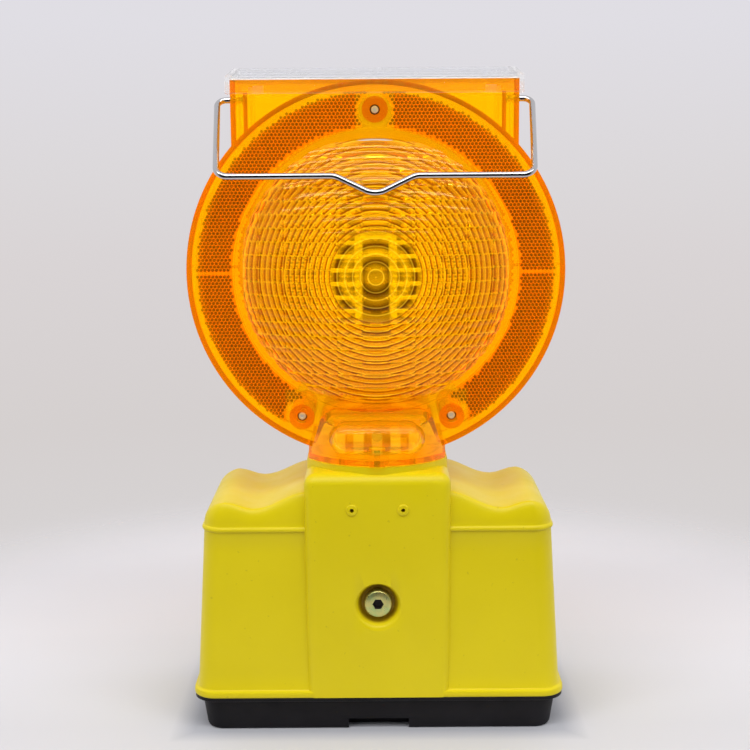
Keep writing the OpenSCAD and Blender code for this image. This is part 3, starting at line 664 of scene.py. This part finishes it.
def make_case():
    case = body_solid(0, "case_shell")
    add(case, tower_solid(0, "tower"), swivel_pad())
    for s in (-1, 1):
        y = tower_front(VENT_AT[1])
        profile = [(0, 0), (3.0, 0), (3.0, 1.5), (2.9, 1.9), (2.6, 2.2), (2.2, 2.3), (0, 2.3)]
        add(case, lathe("vent", profile, 40, "-y", (s * VENT_AT[0], y + 1.5, VENT_AT[1])))
    cut(case, body_solid(CASE_WALL, "inside"), tower_solid(CASE_WALL, "tower_inside"))
    panel = -tower_front(BOLT_Z)
    cup = [(0, -BOLT_SEAT - 2), (10.8, -BOLT_SEAT - 2), (12.8, panel - 1), (0, panel - 1)]
    add(case, lathe("cup", cup, 72, "-y", (0, 0, BOLT_Z)))
    add(case, rod("back_boss", 9, 36.8, TOWER_BACK - 1, 48, "y", (0, 0, BOLT_Z)))
    mouth = 11.25
    recess = [(0, -BOLT_SEAT), (8.5, -BOLT_SEAT), (8.8, -BOLT_SEAT + 0.3), (mouth - 0.5, panel - 1.6),
              (mouth - 0.15, panel - 0.8), (mouth + 0.25, panel - 0.3), (mouth + 0.9, panel),
              (mouth + 2.2, panel + 0.35), (mouth + 2.2, panel + 4), (0, panel + 4)]
    cut(case, lathe("recess", recess, 96, "-y", (0, 0, BOLT_Z)))
    cut(case, rod("bolt_hole", 4.1, -60, 60, 48, "y", (0, 0, BOLT_Z)))
    for s in (-1, 1):
        cut(case, rod("vent_hole", 1.05, 35, 60, 24, "-y", (s * VENT_AT[0], 0, VENT_AT[1])))
    cut(case, rod("socket", SOCKET_R, 100, 150, 96))
    groove = [(30.8, PAD_TOP - 2.3), (33.2, PAD_TOP - 2.3), (33.2, PAD_TOP + 1), (30.8, PAD_TOP + 1)]
    cut(case, lathe("groove", groove, 96))
    return shade(case, 28)


# ---- Tray ----


def make_tray():
    """The black tray: a drafted tub with a lip under the case, a pull slot, posts and fences."""
    foot_x, foot_y = FOOT_X - 4.6, FOOT_Y - 1.6
    rim_x, rim_y = FOOT_X - 2.0, FOOT_Y - 0.8
    lip_x, lip_y = FOOT_X + 1.5, FOOT_Y + 1.5

    def row(z, hx, hy, r):
        return [(x, y, z) for x, y in rounded_loop(hx, hy, r, 30, 12, 10)]

    def wall(z):
        t = z / CASE_BOTTOM
        return foot_x + (rim_x - foot_x) * t, foot_y + (rim_y - foot_y) * t

    rows = [row(z, wall(z)[0] - s, wall(z)[1] - s, 9 - s)
            for z, s in ((0, 1.6), (0.2, 0.9), (0.6, 0.4), (1.3, 0.1), (2.2, 0))]
    rows += [row(z, *wall(z), 9) for z in (8, CASE_BOTTOM - 2.5)]
    rows += [row(CASE_BOTTOM - drop, lip_x - s, lip_y - s, 11.5 - s)
             for drop, s in ((2.2, 0.7), (1.8, 0), (0, 0))]
    tray = loft("tray_shell", rows)
    inner = [row(z, foot_x - 2.5 - s, foot_y - 2.5 - s, 7)
             for z, s in ((3, 0.8), (3.4, 0.2), (4.2, 0), (CASE_BOTTOM + 1, 0))]
    cut(tray, loft("tub", inner))
    add(tray, block("slot_roof", (-18, -FOOT_Y + 3.2, 0.5), (18, -34, 8.5)))
    cut(tray, block("slot", (-15.5, -60, -1), (15.5, -36, 5.5)))
    half = 33.0
    for s in (-1, 1):
        middle = s * (10 + half)
        add(tray, block("fence", (middle - half - 2, -half - 2, 2.5), (middle + half + 2, half + 2, 12.5)))
    for s in (-1, 1):
        middle, room = s * (10 + half), half + 0.3
        cut(tray, block("cell", (middle - room, -room, 3.0), (middle + room, room, 14)))
        add(tray, block("post", (-7.5, s * 29 - 6, 2.5), (7.5, s * 29 + 6, TRAY_HIGH[2])))
    add(tray, block("web", (-1.5, -25, 2.5), (1.5, 25, 52.5)))
    cut(tray, rod("sleeve_hole", 6.1, -50, 50, 48, "y", (0, 0, BOLT_Z)))
    return shade(tray, 28)


# ---- Through bolt ----


def make_bolt():
    """A button-head bolt with a hexagon socket and a real thread behind the case."""
    head_h, head_r = 4.4, 7.0
    crown = [(head_r - 0.9 * (1 - math.cos(a)), head_h - 1.1 + 1.1 * math.sin(a))
             for a in (math.radians(x) for x in (0, 15, 30, 45, 60, 75))]
    profile = [(0, 0), (head_r - 0.3, 0), (head_r, 0.3)] + crown + [(3.2, head_h), (0, head_h)]
    bolt = lathe("bolt", profile, 72, "-y", (0, BOLT_SEAT, BOLT_Z))
    face = BOLT_SEAT - head_h
    cut(bolt, loft("socket", [[(x, face + dy, BOLT_Z + z) for x, z in ring(2.9, 6)] for dy in (-1, 2.6)]))
    for polygon in bolt.data.polygons:
        centre = polygon.center / MM
        polygon.material_index = int(math.hypot(centre.x, centre.z - BOLT_Z) < 2.8 and centre.y > face + 0.3)
    add(bolt, rod("shank", 3.9, BOLT_SEAT - 0.5, TOWER_BACK + 1, 48, "y", (0, 0, BOLT_Z)))
    pitch, sides, per_turn = 1.25, 40, 8
    start, end = TOWER_BACK + 0.4, BOLT_HIGH[1] - 0.05
    count = int((end - start) / pitch * per_turn)
    rows = []
    for i in range(count + 1):
        y = start + (end - start) * i / count
        row = []
        for k in range(sides):
            phase = ((y / pitch) - k / sides) % 1.0
            ridge = 1 - abs(2 * phase - 1)
            r = 3.38 + 0.6 * min(1.0, 1.25 * ridge)
            r = min(r, 3.2 + (end - y) * 1.2)
            a = 2 * PI * k / sides
            row.append((r * math.cos(a), y, BOLT_Z + r * math.sin(a)))
        rows.append(row)
    add(bolt, loft("thread", rows))
    return shade(bolt, 35)


# ---- Lens halves ----

# The lathe's axis for the rear half and the front half.
OUTWARD = {1: "y", -1: "-y"}


def pillow_grid(side):
    """A block whose front is the dome's outside: a sphere quilted with small cushions."""
    across, up = 8, 6
    columns, rows = 11, 21
    us = np.arange(-columns * across // 2, columns * across // 2 + 1) / across
    vs = np.arange(-rows * up // 2, rows * up // 2 + 1) / up
    back = FACE - 1.2
    verts = []
    for v in vs:
        for u in us:
            tan_x, tan_z = math.tan(u * COLUMN_PITCH), math.tan(v * ROW_PITCH)
            forward = DOME_SPHERE / math.sqrt(1 + tan_x**2 + tan_z**2)
            pu, pv = (u + 0.5) % 1.0 * 2 - 1, (v + 0.5) % 1.0 * 2 - 1
            lift = 1 + (PILLOW * (1 - 0.5 * pu**2 - 0.9 * pv**2) - PILLOW * 0.7) / DOME_SPHERE
            verts.append((tan_x * forward * lift, DOME_CENTRE + forward * lift, tan_z * forward * lift))
    width, height = len(us), len(vs)
    front = len(verts)
    verts += [(x, back, z) for x, y, z in verts]
    faces = []
    for j in range(height - 1):
        for i in range(width - 1):
            a = j * width + i
            quad = (a, a + 1, a + width + 1, a + width)
            faces.append(quad)
            faces.append(tuple(front + k for k in reversed(quad)))
    rim = list(range(width)) + [j * width + width - 1 for j in range(1, height)]
    rim += [(height - 1) * width + i for i in range(width - 2, -1, -1)]
    rim += [j * width for j in range(height - 2, 0, -1)]
    for k, a in enumerate(rim):
        b = rim[(k + 1) % len(rim)]
        faces.append((a, front + a, front + b, b))
    placed = [(x, side * y, z + LENS_Z) for x, y, z in verts]
    return clean(mesh_object("optic", placed, faces), 0.0005 * MM)


def ring_void(side):
    """The space behind the dome. Its front is a Fresnel lens, with rings broken up by cells."""
    sides = 360
    edges = [0.0, *BULLSEYE]
    while edges[-1] + RING_PITCH < DOME_R - 3:
        edges.append(edges[-1] + RING_PITCH)
    inner_sphere = DOME_SPHERE - LENS_WALL
    angles = np.arange(sides) * 2 * PI / sides
    steps = np.linspace(0, DOME_R, 800)
    stagger = STAGGER * np.clip((steps - BULLSEYE[-1]) / 4, 0, 1) * np.clip((DOME_R - 4 - steps) / 4, 0, 1)

    def cell(value, pitch):
        return (value / pitch + 0.5) % 1.0 - 0.5

    crossing = np.zeros((len(edges), sides))
    for k, angle in enumerate(angles):
        x, z = steps * math.cos(angle), steps * math.sin(angle)
        bent = np.hypot(x - stagger * cell(x, CELL_X), z - stagger * cell(z, CELL_Z))
        crossing[:, k] = np.interp(edges, np.maximum.accumulate(bent), steps)

    def row(radius, drop, flatten=0.8):
        z = radius * np.sin(angles)
        line = np.clip((np.abs(cell(z, CELL_Z)) - 0.42) / 0.05, 0, 1) * flatten
        height = DOME_CENTRE + np.sqrt(inner_sphere**2 - radius**2) - 0.3 - drop * (1 - line)
        return list(zip(radius * np.cos(angles), side * height, LENS_Z + z))

    rows = [row(np.full(sides, 0.8), 0.45, 0), row(np.full(sides, 3.0), 0.22, 0)]
    for n in range(len(edges) - 1):
        a, b = crossing[n], crossing[n + 1]
        edge = edges[n + 1]
        depth = 0.4 + 0.5 * edge / BULLSEYE[-1]
        if n >= len(BULLSEYE):
            depth = 0.9 + 1.2 * min(1.0, (edge - 22) / 30)
        if n > 0:
            rows.append(row(a + 0.03, depth))
            rows += [row(a + (b - a) * t, depth * (1 - t) ** 1.1) for t in (0.35, 0.7)]
        rows.append(row(b - 0.03, 0.0))
    rows.append(row(crossing[-1] + 0.6, 0.0))
    for y in (FACE - 0.6, FACE - 8):
        rows.append([(x, side * y, LENS_Z + z) for x, z in ring(DOME_R - 1.6, sides)])
    return loft("rings", rows)


def optic(side):
    """The dome: small cushions outside, and Fresnel rings inside."""
    dome = pillow_grid(side)
    low, step = FACE - 1.2, FACE + STEP_RISE + 0.4
    trim = [(0, low), (DOME_R, low), (DOME_R, step), (DOME_R - 0.5, 80), (0, 80)]
    combine(dome, lathe("trim", trim, 240, OUTWARD[side], (0, 0, LENS_Z)), "INTERSECT")
    return cut(dome, ring_void(side))


def make_lens(node, name, side):
    """A lens half: the CAD moulding with its smooth dome exchanged for the real optic."""
    lens = cad_copy(node, name)
    reach = FACE + 0.05 - LENS_WALL
    cut(lens, rod("bore", 66.4, reach - 1.5, 70, 144, OUTWARD[side], (0, 0, LENS_Z)))
    cut(lens, rod("clear", DOME_R + 0.3, FACE + STEP_RISE, 70, 144, OUTWARD[side], (0, 0, LENS_Z)))
    add(lens, optic(side))
    return shade(lens, 30)


# One cell's ground and the stud behind it, as levels of (size, depth).
GROUND = ((0.996, 2.0), (0.996, 1.25))
STUD = ((0.82, 1.2), (0.82, 0.5), (0.5, 0.0))


def make_reflector(name, side):
    """Hexagonal reflex studs behind the face, in the two sectors between the screws and neck."""
    pitch = 1.93
    size = pitch / math.sqrt(3)
    front = side * (FACE - LENS_WALL - 0.05)
    verts, faces, tones = [], [], []
    rows = int(REFLEX_R[1] / (pitch * 0.866)) + 1
    corners = ring(1.0, 6, PI / 6)
    for j in range(-rows, rows + 1):
        for i in range(-rows, rows + 1):
            x = (i + 0.5 * (j % 2)) * pitch
            z = j * pitch * 0.866
            r = math.hypot(x, z)
            at_screw = any(math.hypot(x - p[0], z - p[1]) < SCREW_LAND + 0.7 for p in SCREW_AT)
            at_neck = z < -60 and abs(x) < -SCREW_AT[1][0]
            if at_screw or at_neck or abs(z) < 0.5 or not REFLEX_R[0] + 0.9 < r < REFLEX_R[1] + 0.8:
                continue
            for levels in (GROUND, STUD):
                base = len(verts)
                for scale, depth in levels:
                    y = front - side * depth
                    verts += [(x + size * scale * c, y, LENS_Z + z + size * scale * s) for c, s in corners]
                faces += prism(6, len(levels), base)
                # Painted light and shade: the side faces and the stud's front take the dark copy of the
                # amber, and the ground's two caps and the stud's back the lit copy with its painted glow.
                tones += [0] * (6 * (len(levels) - 1)) + [1, int(levels is GROUND)]
    obj = mesh_object(name, verts, faces)
    with editing(obj.data) as bm:
        bmesh.ops.recalc_face_normals(bm, faces=bm.faces)
    obj.data.polygons.foreach_set("material_index", tones)
    return obj


def make_lens_screws():
    """Three pan-head screws with hexagon sockets, set back in the front lens's bosses."""
    low, high = box_mm("lens_screws")
    seat = -low[1] - 2.2
    screws = None
    for x, z in SCREW_AT:
        profile = [(0, seat), (2.5, seat), (2.5, seat + 0.9), (1.85, seat + 1.1), (1.8, seat + 1.9),
                   (1.55, seat + 2.2), (0, seat + 2.2)]
        screw = lathe("screw", profile, 40, "-y", (x, 0, LENS_Z + z))
        socket = [[(x + u, y, LENS_Z + z + w) for u, w in ring(1.05, 6)] for y in (-seat - 3, -seat - 0.9)]
        cut(screw, loft("hex", socket))
        tip, neck = -high[1], seat + 0.2
        shank = [(0, tip + 0.2), (1.1, tip), (1.5, tip + 0.6), (1.5, neck), (0, neck)]
        add(screw, lathe("shank", shank, 32, "-y", (x, 0, LENS_Z + z)))
        # Painted shade: the outer rim of each head gets a dark finish, for the shadow in the counterbore
        # round it.
        for polygon in screw.data.polygons:
            centre = polygon.center / MM
            away = math.hypot(centre.x - x, centre.z - LENS_Z - z)
            polygon.material_index = int(away > 1.84)
        screws = screw if screws is None else add(screws, screw)
    return shade(screws, 35)


def make_cover():
    """The clear cap from its CAD moulding. Its lower edge and hooks are made paler, a painted light that
    stands in for the light they gather.
    """
    cover = cad_copy("solar_cover", "cover")
    low, high = box_mm("solar_cover")
    level = (low[2] + 0.7) * MM
    hook_size = Matrix.Diagonal((0.0052, 0.0015, 0.0036, 1))
    with editing(cover.data) as bm:
        bmesh.ops.bisect_plane(bm, geom=bm.verts[:] + bm.edges[:] + bm.faces[:], plane_co=(0, 0, level),
                               plane_no=(0, 0, 1))
        for face in bm.faces:
            middle = face.calc_center_median() / MM
            hook = middle.z < low[2] + 3.4 and abs(middle.y) < high[1] - 2.0 and abs(middle.x) < 62
            face.material_index = int(hook or middle.z * MM < level)
        for x in (-57.0, 57.0):
            for y in (low[1] + 0.9, high[1] - 0.9):
                at = Matrix.Translation(Vector((x, y, low[2] + 1.9)) * MM) @ hook_size
                for vert in bmesh.ops.create_cube(bm, size=1.0, matrix=at)["verts"]:
                    for face in vert.link_faces:
                        face.material_index = 1
    return shade(cover, 20)


# ---- Bail ----


def make_bail():
    """Round wire bent to the handle's shape, with flattened heads inside the box."""
    wire_r = 1.6
    pivot_z = frame["joints"][1]["pos_m"][2] / MM
    lean = math.radians(45.4)
    reach, vee_half, vee_depth = 53.6, 19.5, 12.8
    top_x, foot_x, inner_x = 80.0, 77.4, 65.7
    half = [(inner_x, 0), (top_x, 0), (foot_x, -reach), (vee_half, -reach), (0, -reach - vee_depth)]
    corners = [Vector(p) for p in half] + [Vector((-x, z)) for x, z in reversed(half[:-1])]
    bends = [4.2, 6.5, 8, 8, 8, 6.5, 4.2]
    path = [corners[0], corners[0] + Vector((3.0, 0)), corners[0] + Vector((6.0, 0))]
    for i, radius in enumerate(bends):
        before, at, after = corners[i], corners[i + 1], corners[i + 2]
        u, v = (before - at).normalized(), (after - at).normalized()
        half_angle = u.angle(v) / 2
        centre = at + (u + v).normalized() * radius / math.sin(half_angle)
        first = at + u * radius / math.tan(half_angle) - centre
        turn = -1 if u.cross(v) > 0 else 1
        sweep = turn * (PI - 2 * half_angle)
        for k in range(13):
            a = sweep * k / 12
            path.append(centre + Vector((first.x * math.cos(a) - first.y * math.sin(a),
                                         first.x * math.sin(a) + first.y * math.cos(a))))
    path += [corners[-1] - Vector((6.0, 0)), corners[-1] - Vector((3.0, 0)), corners[-1]]
    rows, sides = [], 28
    last = len(path) - 1
    for i, p in enumerate(path):
        along = (path[min(i + 1, last)] - path[max(i - 1, 0)]).normalized()
        across = Vector((-along.y, along.x))
        row = []
        for out, y in ring(wire_r, sides):
            x, z = p.x + out * across.x, p.y + out * across.y
            row.append((x, y * math.cos(lean) + z * math.sin(lean),
                        pivot_z + z * math.cos(lean) - y * math.sin(lean)))
        rows.append(row)
    bail = loft("bail_wire", rows)
    for s in (-1, 1):
        head = [(0, 0), (2.3, 0), (2.5, 0.2), (2.5, 1.3), (2.3, 1.6), (0, 1.6)]
        at = (s * inner_x - (0 if s > 0 else 1.6), 0, pivot_z)
        add(bail, lathe("head", head, 32, "x", at))
    return shade(bail, 40)


# ---- Solar cell ----


CELL_DEPTH = 0.35


def make_panel():
    """The panel's white back board, with the dark sheet that its cells lie on."""
    x, y, z = PANEL_HIGH
    panel = block("panel_sheet", PANEL_LOW, (x, y, z - CELL_DEPTH))
    for polygon in panel.data.polygons:
        polygon.material_index = int(polygon.normal.z > 0.5)
    return panel


def make_cells():
    low, high = PANEL_LOW, PANEL_HIGH
    verts, faces = [], []
    columns, margin, gap = 8, 2.5, 0.8
    width = (high[0] - low[0] - 2 * margin + gap) / columns - gap
    y0, y1 = low[1] + margin, high[1] - margin
    for i in range(columns):
        x0 = low[0] + margin + i * (width + gap)
        x1 = x0 + width
        c = 1.6
        outline = [(x0 + c, y0), (x1 - c, y0), (x1, y0 + c), (x1, y1 - c),
                   (x1 - c, y1), (x0 + c, y1), (x0, y1 - c), (x0, y0 + c)]
        faces += prism(8, 2, len(verts))
        verts += [(x, y, z) for z in (high[2] - CELL_DEPTH, high[2] - 0.08) for x, y in outline]
    return shade(mesh_object("solar_cells", verts, faces), 30)


def make_ribbons():
    low, high = PANEL_LOW, PANEL_HIGH
    verts, faces = [], []

    def strip(x0, x1, y0, y1, z0, z1):
        faces.extend(prism(4, 2, len(verts)))
        verts.extend((x, y, z) for z in (z0, z1) for x, y in ((x0, y0), (x1, y0), (x1, y1), (x0, y1)))

    z0 = high[2] - 0.1
    for y in (-10.0, 10.0):
        strip(low[0] + 2, high[0] - 2, y - 0.7, y + 0.7, z0, high[2])
    count = 44
    for i in range(count):
        x = low[0] + 3 + (high[0] - low[0] - 6) * i / (count - 1)
        strip(x - 0.06, x + 0.06, low[1] + 3, high[1] - 3, z0, high[2] - 0.04)
    return mesh_object("cell_ribbons", verts, faces)


# ---- Stage, lights and camera ----


def make_stage():
    """A pale round floor that fades out into the plain surroundings, with painted light that makes it paler
    behind the object and a painted contact shadow round the tray.
    """
    radius, rings, sides = 620.0, 40, 96
    verts = [(0.0, 0.0, -0.02)]
    for i in range(1, rings + 1):
        verts += [(x, y, -0.02) for x, y in ring(radius * i / rings, sides)]
    faces = [(0, 1 + k, 1 + (k + 1) % sides) for k in range(sides)]
    faces += [tuple(reversed(quad)) for quad in bands(sides, rings, 1)]
    floor = mesh_object("floor", verts, faces)
    near, far = (0.62, 0.615, 0.64), (0.745, 0.735, 0.765)
    s = Shader("pale_floor", near, 0.8, Specular_IOR_Level=0.2)
    x, y, _ = s.xyz()
    gap = s.math("MAXIMUM", *(s.minus(s.size(v), reach * MM) for v, reach in zip((x, y), TRAY_HIGH)))
    # Painted light: the floor is paler behind the object.
    painted_light_floor = s.mix(s.ramp(y, -0.04, 0.1, 0, 1), near, far)
    # Painted contact shadow, darkest at the tray's footprint and gone 12 mm out from it.
    s.colour(s.mix(s.ramp(gap, 0.0, 0.012, 0.42, 0), painted_light_floor, (0.2, 0.22, 0.26)))
    fade = s.ramp(s.length(s.place), 0.29, 0.47, 1, 0)
    fade.node.interpolation_type = "SMOOTHSTEP"
    s.blend(fade, s.node("ShaderNodeBsdfTransparent").outputs["BSDF"], s.main.outputs["BSDF"])
    floor.data.materials.append(s.material)


def make_world():
    """The studio's light: bright behind and above, and dark on the side that the front faces."""
    world = bpy.data.worlds.new("studio")
    bpy.context.scene.world = world
    world.use_nodes = True
    w = Nodes(world.node_tree)
    facing = w.node("ShaderNodeVectorMath", operation="DOT_PRODUCT")
    facing.inputs[1].default_value = (0, 0.98, 0.199)
    w.link(w.node("ShaderNodeTexCoord").outputs["Generated"], facing.inputs[0])
    light = w.stops(w.ramp(facing.outputs["Value"], -1, 1, 0, 1), (0.0, (0.02, 0.02, 0.022)),
                    (0.2, (0.03, 0.03, 0.032)), (0.36, (0.55, 0.54, 0.55)), (0.5, (0.75, 0.74, 0.75)),
                    (1.0, (0.85, 0.83, 0.84)))
    w.link(light, w.tree.nodes["Background"].inputs["Color"])


def make_backdrop():
    """A pale surround that only the camera sees, so that it adds no light. Its glow is painted light:
    lightest towards the top, darkest a little below the floor's level.
    """
    radius = 4.0
    surround = new_object("surround", bpy.data.meshes.new("surround"))
    with editing(surround.data) as bm:
        bmesh.ops.create_uvsphere(bm, u_segments=64, v_segments=48, radius=radius)
    shade(surround, 90)
    for ray in ("diffuse", "glossy", "transmission", "volume_scatter", "shadow"):
        setattr(surround, "visible_" + ray, False)
    s = Shader("surround", (0, 0, 0))
    tone = s.stops(s.ramp(s.xyz()[2], -radius, radius, 0, 1), (0.38, (0.672, 0.645, 0.645)),
                   (0.42, (0.665, 0.63, 0.625)), (0.49, (0.695, 0.658, 0.665)), (0.525, (0.712, 0.686, 0.7)),
                   (0.59, (0.745, 0.73, 0.775)), (1.0, (0.8, 0.8, 0.84)))
    glow = s.node("ShaderNodeEmission")
    s.link(tone, glow.inputs["Color"])
    s.surface(glow.outputs["Emission"])
    surround.data.materials.append(s.material)


def make_lights():
    """Soft boxes as (name, place, height aimed at, size, watts, seen in reflections)."""
    for name, at, aim, size, power, glossy in (
            ("softbox_top", (0.0, -0.45, 1.0), 0.2, (1.6, 0.16), 6.0, True),
            ("softbox_left", (-1.0, -0.85, 0.75), 0.18, (0.8, 0.9), 4.6, False),
            ("softbox_right", (1.05, -0.8, 0.75), 0.18, (0.8, 0.9), 4.2, False),
            ("softbox_front", (0.0, -0.95, 1.05), 0.2, (1.3, 0.14), 3.0, True)):
        data = bpy.data.lights.new(name, "AREA")
        data.shape = "RECTANGLE"
        data.size, data.size_y = size
        data.energy = power
        light = new_object(name, data)
        light.visible_glossy = glossy
        light.location = at
        light.rotation_euler = (Vector((0, 0, aim)) - Vector(at)).to_track_quat("-Z", "Y").to_euler()


def make_camera():
    data = bpy.data.cameras.new("camera")
    data.sensor_width = 36.0
    data.lens = 63.65
    camera = new_object("camera", data)
    camera.location = (0.0, -0.688, 0.2939)
    camera.rotation_euler = (math.radians(90 - 9.6), math.radians(0.4), 0.0)
    bpy.context.scene.camera = camera


# ---- Assembly ----


def place(obj, body, nodes, slot, *materials):
    """Puts a finished piece on its body in place of the CAD nodes."""
    indices = [polygon.material_index for polygon in obj.data.polygons]
    obj.data.materials.clear()
    for material in materials:
        obj.data.materials.append(material)
    obj.data.polygons.foreach_set("material_index", [min(i, len(materials) - 1) for i in indices])
    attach(obj, body)
    if nodes:
        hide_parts(*nodes)


make_camera()
make_world()
make_backdrop()
make_lights()
make_stage()

amber = amber_plastic()
bright = steel()
place(make_lens("front_lens", "front_lens_moulding", -1), "head", ["front_lens"], "lens_amber", amber)
place(make_lens("rear_lens", "rear_lens_moulding", 1), "head", ["rear_lens"], "lens_amber", amber)
# The lens screws: steel heads with a slight painted glow, and rims in painted shade.
place(make_lens_screws(), "head", ["lens_screws"], "screw_steel", steel("screw_head", 0.4, 0.12),
      moulded("screw_rim_shade", (0.03, 0.025, 0.03), 0.5))
# The reflex studs' amber, in a copy with painted shade and a lit copy with a painted glow.
reflex = (finish("amber_reflex_painted_shade", (0.1, 0.02, 0.002), 0.5,
                 (400, 2, (0.14, 0.03, 0.001), (0.24, 0.06, 0.003))),
          finish("amber_reflex", (0.8, 0.42, 0.03), 0.25, (900, 2, (0.95, 0.42, 0.02), (1.0, 0.6, 0.05)),
                 Metallic=0.3, Emission_Strength=0.82, Emission_Color=(1.0, 0.36, 0.006, 1.0)))
place(make_reflector("front_reflector", -1), "head", [], "lens_amber", *reflex)
place(make_reflector("rear_reflector", 1), "head", [], "lens_amber", *reflex)
place(make_bail(), "bail", ["bail"], "bail_chrome",
      finish("bright_plated_wire", (0.56, 0.56, 0.58), 0.09, None, (300, 4, 0.05, 0.16),
             (700, 3, 0.00002, 0.4), Metallic=1.0))
place(make_case(), "case", ["case"], "case_yellow", case_plastic())
place(make_tray(), "case", ["base_tray"], "tray_black",
      finish("black_polypropylene", (0.013, 0.012, 0.014), 0.5,
             (30, 4, (0.006, 0.0052, 0.0066), (0.01, 0.009, 0.011), 0.4, 0.7), (90, 4, 0.42, 0.62),
             (2200, 2, 0.00006, 0.6), Specular_IOR_Level=0.22))
place(make_bolt(), "case", ["mounting_bolt"], "bolt_zinc",
      finish("yellow_zinc", (0.62, 0.62, 0.32), 0.33, (240, 3, (0.48, 0.6, 0.24), (0.68, 0.62, 0.22)),
             (800, 3, 0.25, 0.42), (1500, 3, 0.00002, 0.4), Metallic=0.9),
      moulded("socket_shade", (0.03, 0.02, 0.015), 0.6))
place(make_panel(), "head", ["solar_panel"], "solar_cell",
      moulded("panel_board", (0.75, 0.74, 0.7), 0.4, 0.05),
      moulded("cell_back_sheet", (0.012, 0.012, 0.016), 0.25))
place(make_cells(), "head", [], "solar_cell", moulded("silicon_cells", (0.015, 0.03, 0.11), 0.15, 0.35))
place(make_ribbons(), "head", [], "contact_metal", bright)
place(make_cover(), "head", ["solar_cover"], "cover_clear", clear_plastic("clear_polycarbonate", 0.32, 0.03),
      clear_plastic("clear_edge", 0.85, 0.35))

jacket = finish("battery_jacket", (0.05, 0.13, 0.33), 0.3,
                (40, 2, (0.04, 0.11, 0.3), (0.07, 0.16, 0.38), 0.4, 0.6), Coat_Weight=0.4)
resin = finish("led_resin", (1.0, 0.93, 0.7), 0.08, (500, 2, (1.0, 0.9, 0.55), (1.0, 0.97, 0.8), 0.4, 0.6),
               Transmission_Weight=0.6, IOR=1.5)
white = moulded("white_nylon", (0.8, 0.79, 0.74), 0.4, 0.06)
for node, material in {
    "lens_gasket": finish("natural_silicone", (0.95, 0.62, 0.22), 0.5,
                          (200, 2, (0.98, 0.6, 0.18), (0.92, 0.66, 0.28), 0.4, 0.6),
                          Transmission_Weight=0.35, IOR=1.41),
    "solar_lead": clear_plastic("lead_silicone", 0.25, 0.1),
    "led_board": moulded("led_board_face", (0.3, 0.22, 0.07), 0.35), "front_led": resin, "rear_led": resin,
    "led_bracket": clear_plastic("bracket_clear", 0.3, 0.05),
    "control_board": moulded("board_varnish", (0.7, 0.3, 0.03), 0.35),
    "control_parts": moulded("block_nylon", (0.8, 0.45, 0.1), 0.4, 0.1),
    "photocell": moulded("sensor_resin", (0.35, 0.08, 0.04), 0.2),
    "switch_body": moulded("cream_nylon", (0.82, 0.77, 0.62), 0.4, 0.06),
    "power_button": moulded("rubber_cap", (0.03, 0.03, 0.03), 0.6), "button_nut": bright,
    "swivel_retainer": moulded("natural_acetal", (0.78, 0.76, 0.68), 0.4, 0.06), "retainer_screws": bright,
    "swivel_seal": moulded("black_rubber", (0.015, 0.015, 0.015), 0.7),
    "head_lead": moulded("black_jacket", (0.02, 0.02, 0.02), 0.5), "head_plug": white, "case_socket": white,
    "bolt_sleeve": bright, "left_battery": jacket, "right_battery": jacket, "battery_terminals": bright,
    "contact_board": moulded("phenolic_board", (0.3, 0.16, 0.07), 0.4), "contact_strips": bright,
    "contact_screws": bright,
}.items():
    kept = frame["nodes"][node].data.materials
    kept.clear()
    kept.append(material)

scene = bpy.context.scene
scene.view_settings.view_transform = "Standard"
scene.cycles.max_bounces = 24
scene.cycles.transmission_bounces = 24
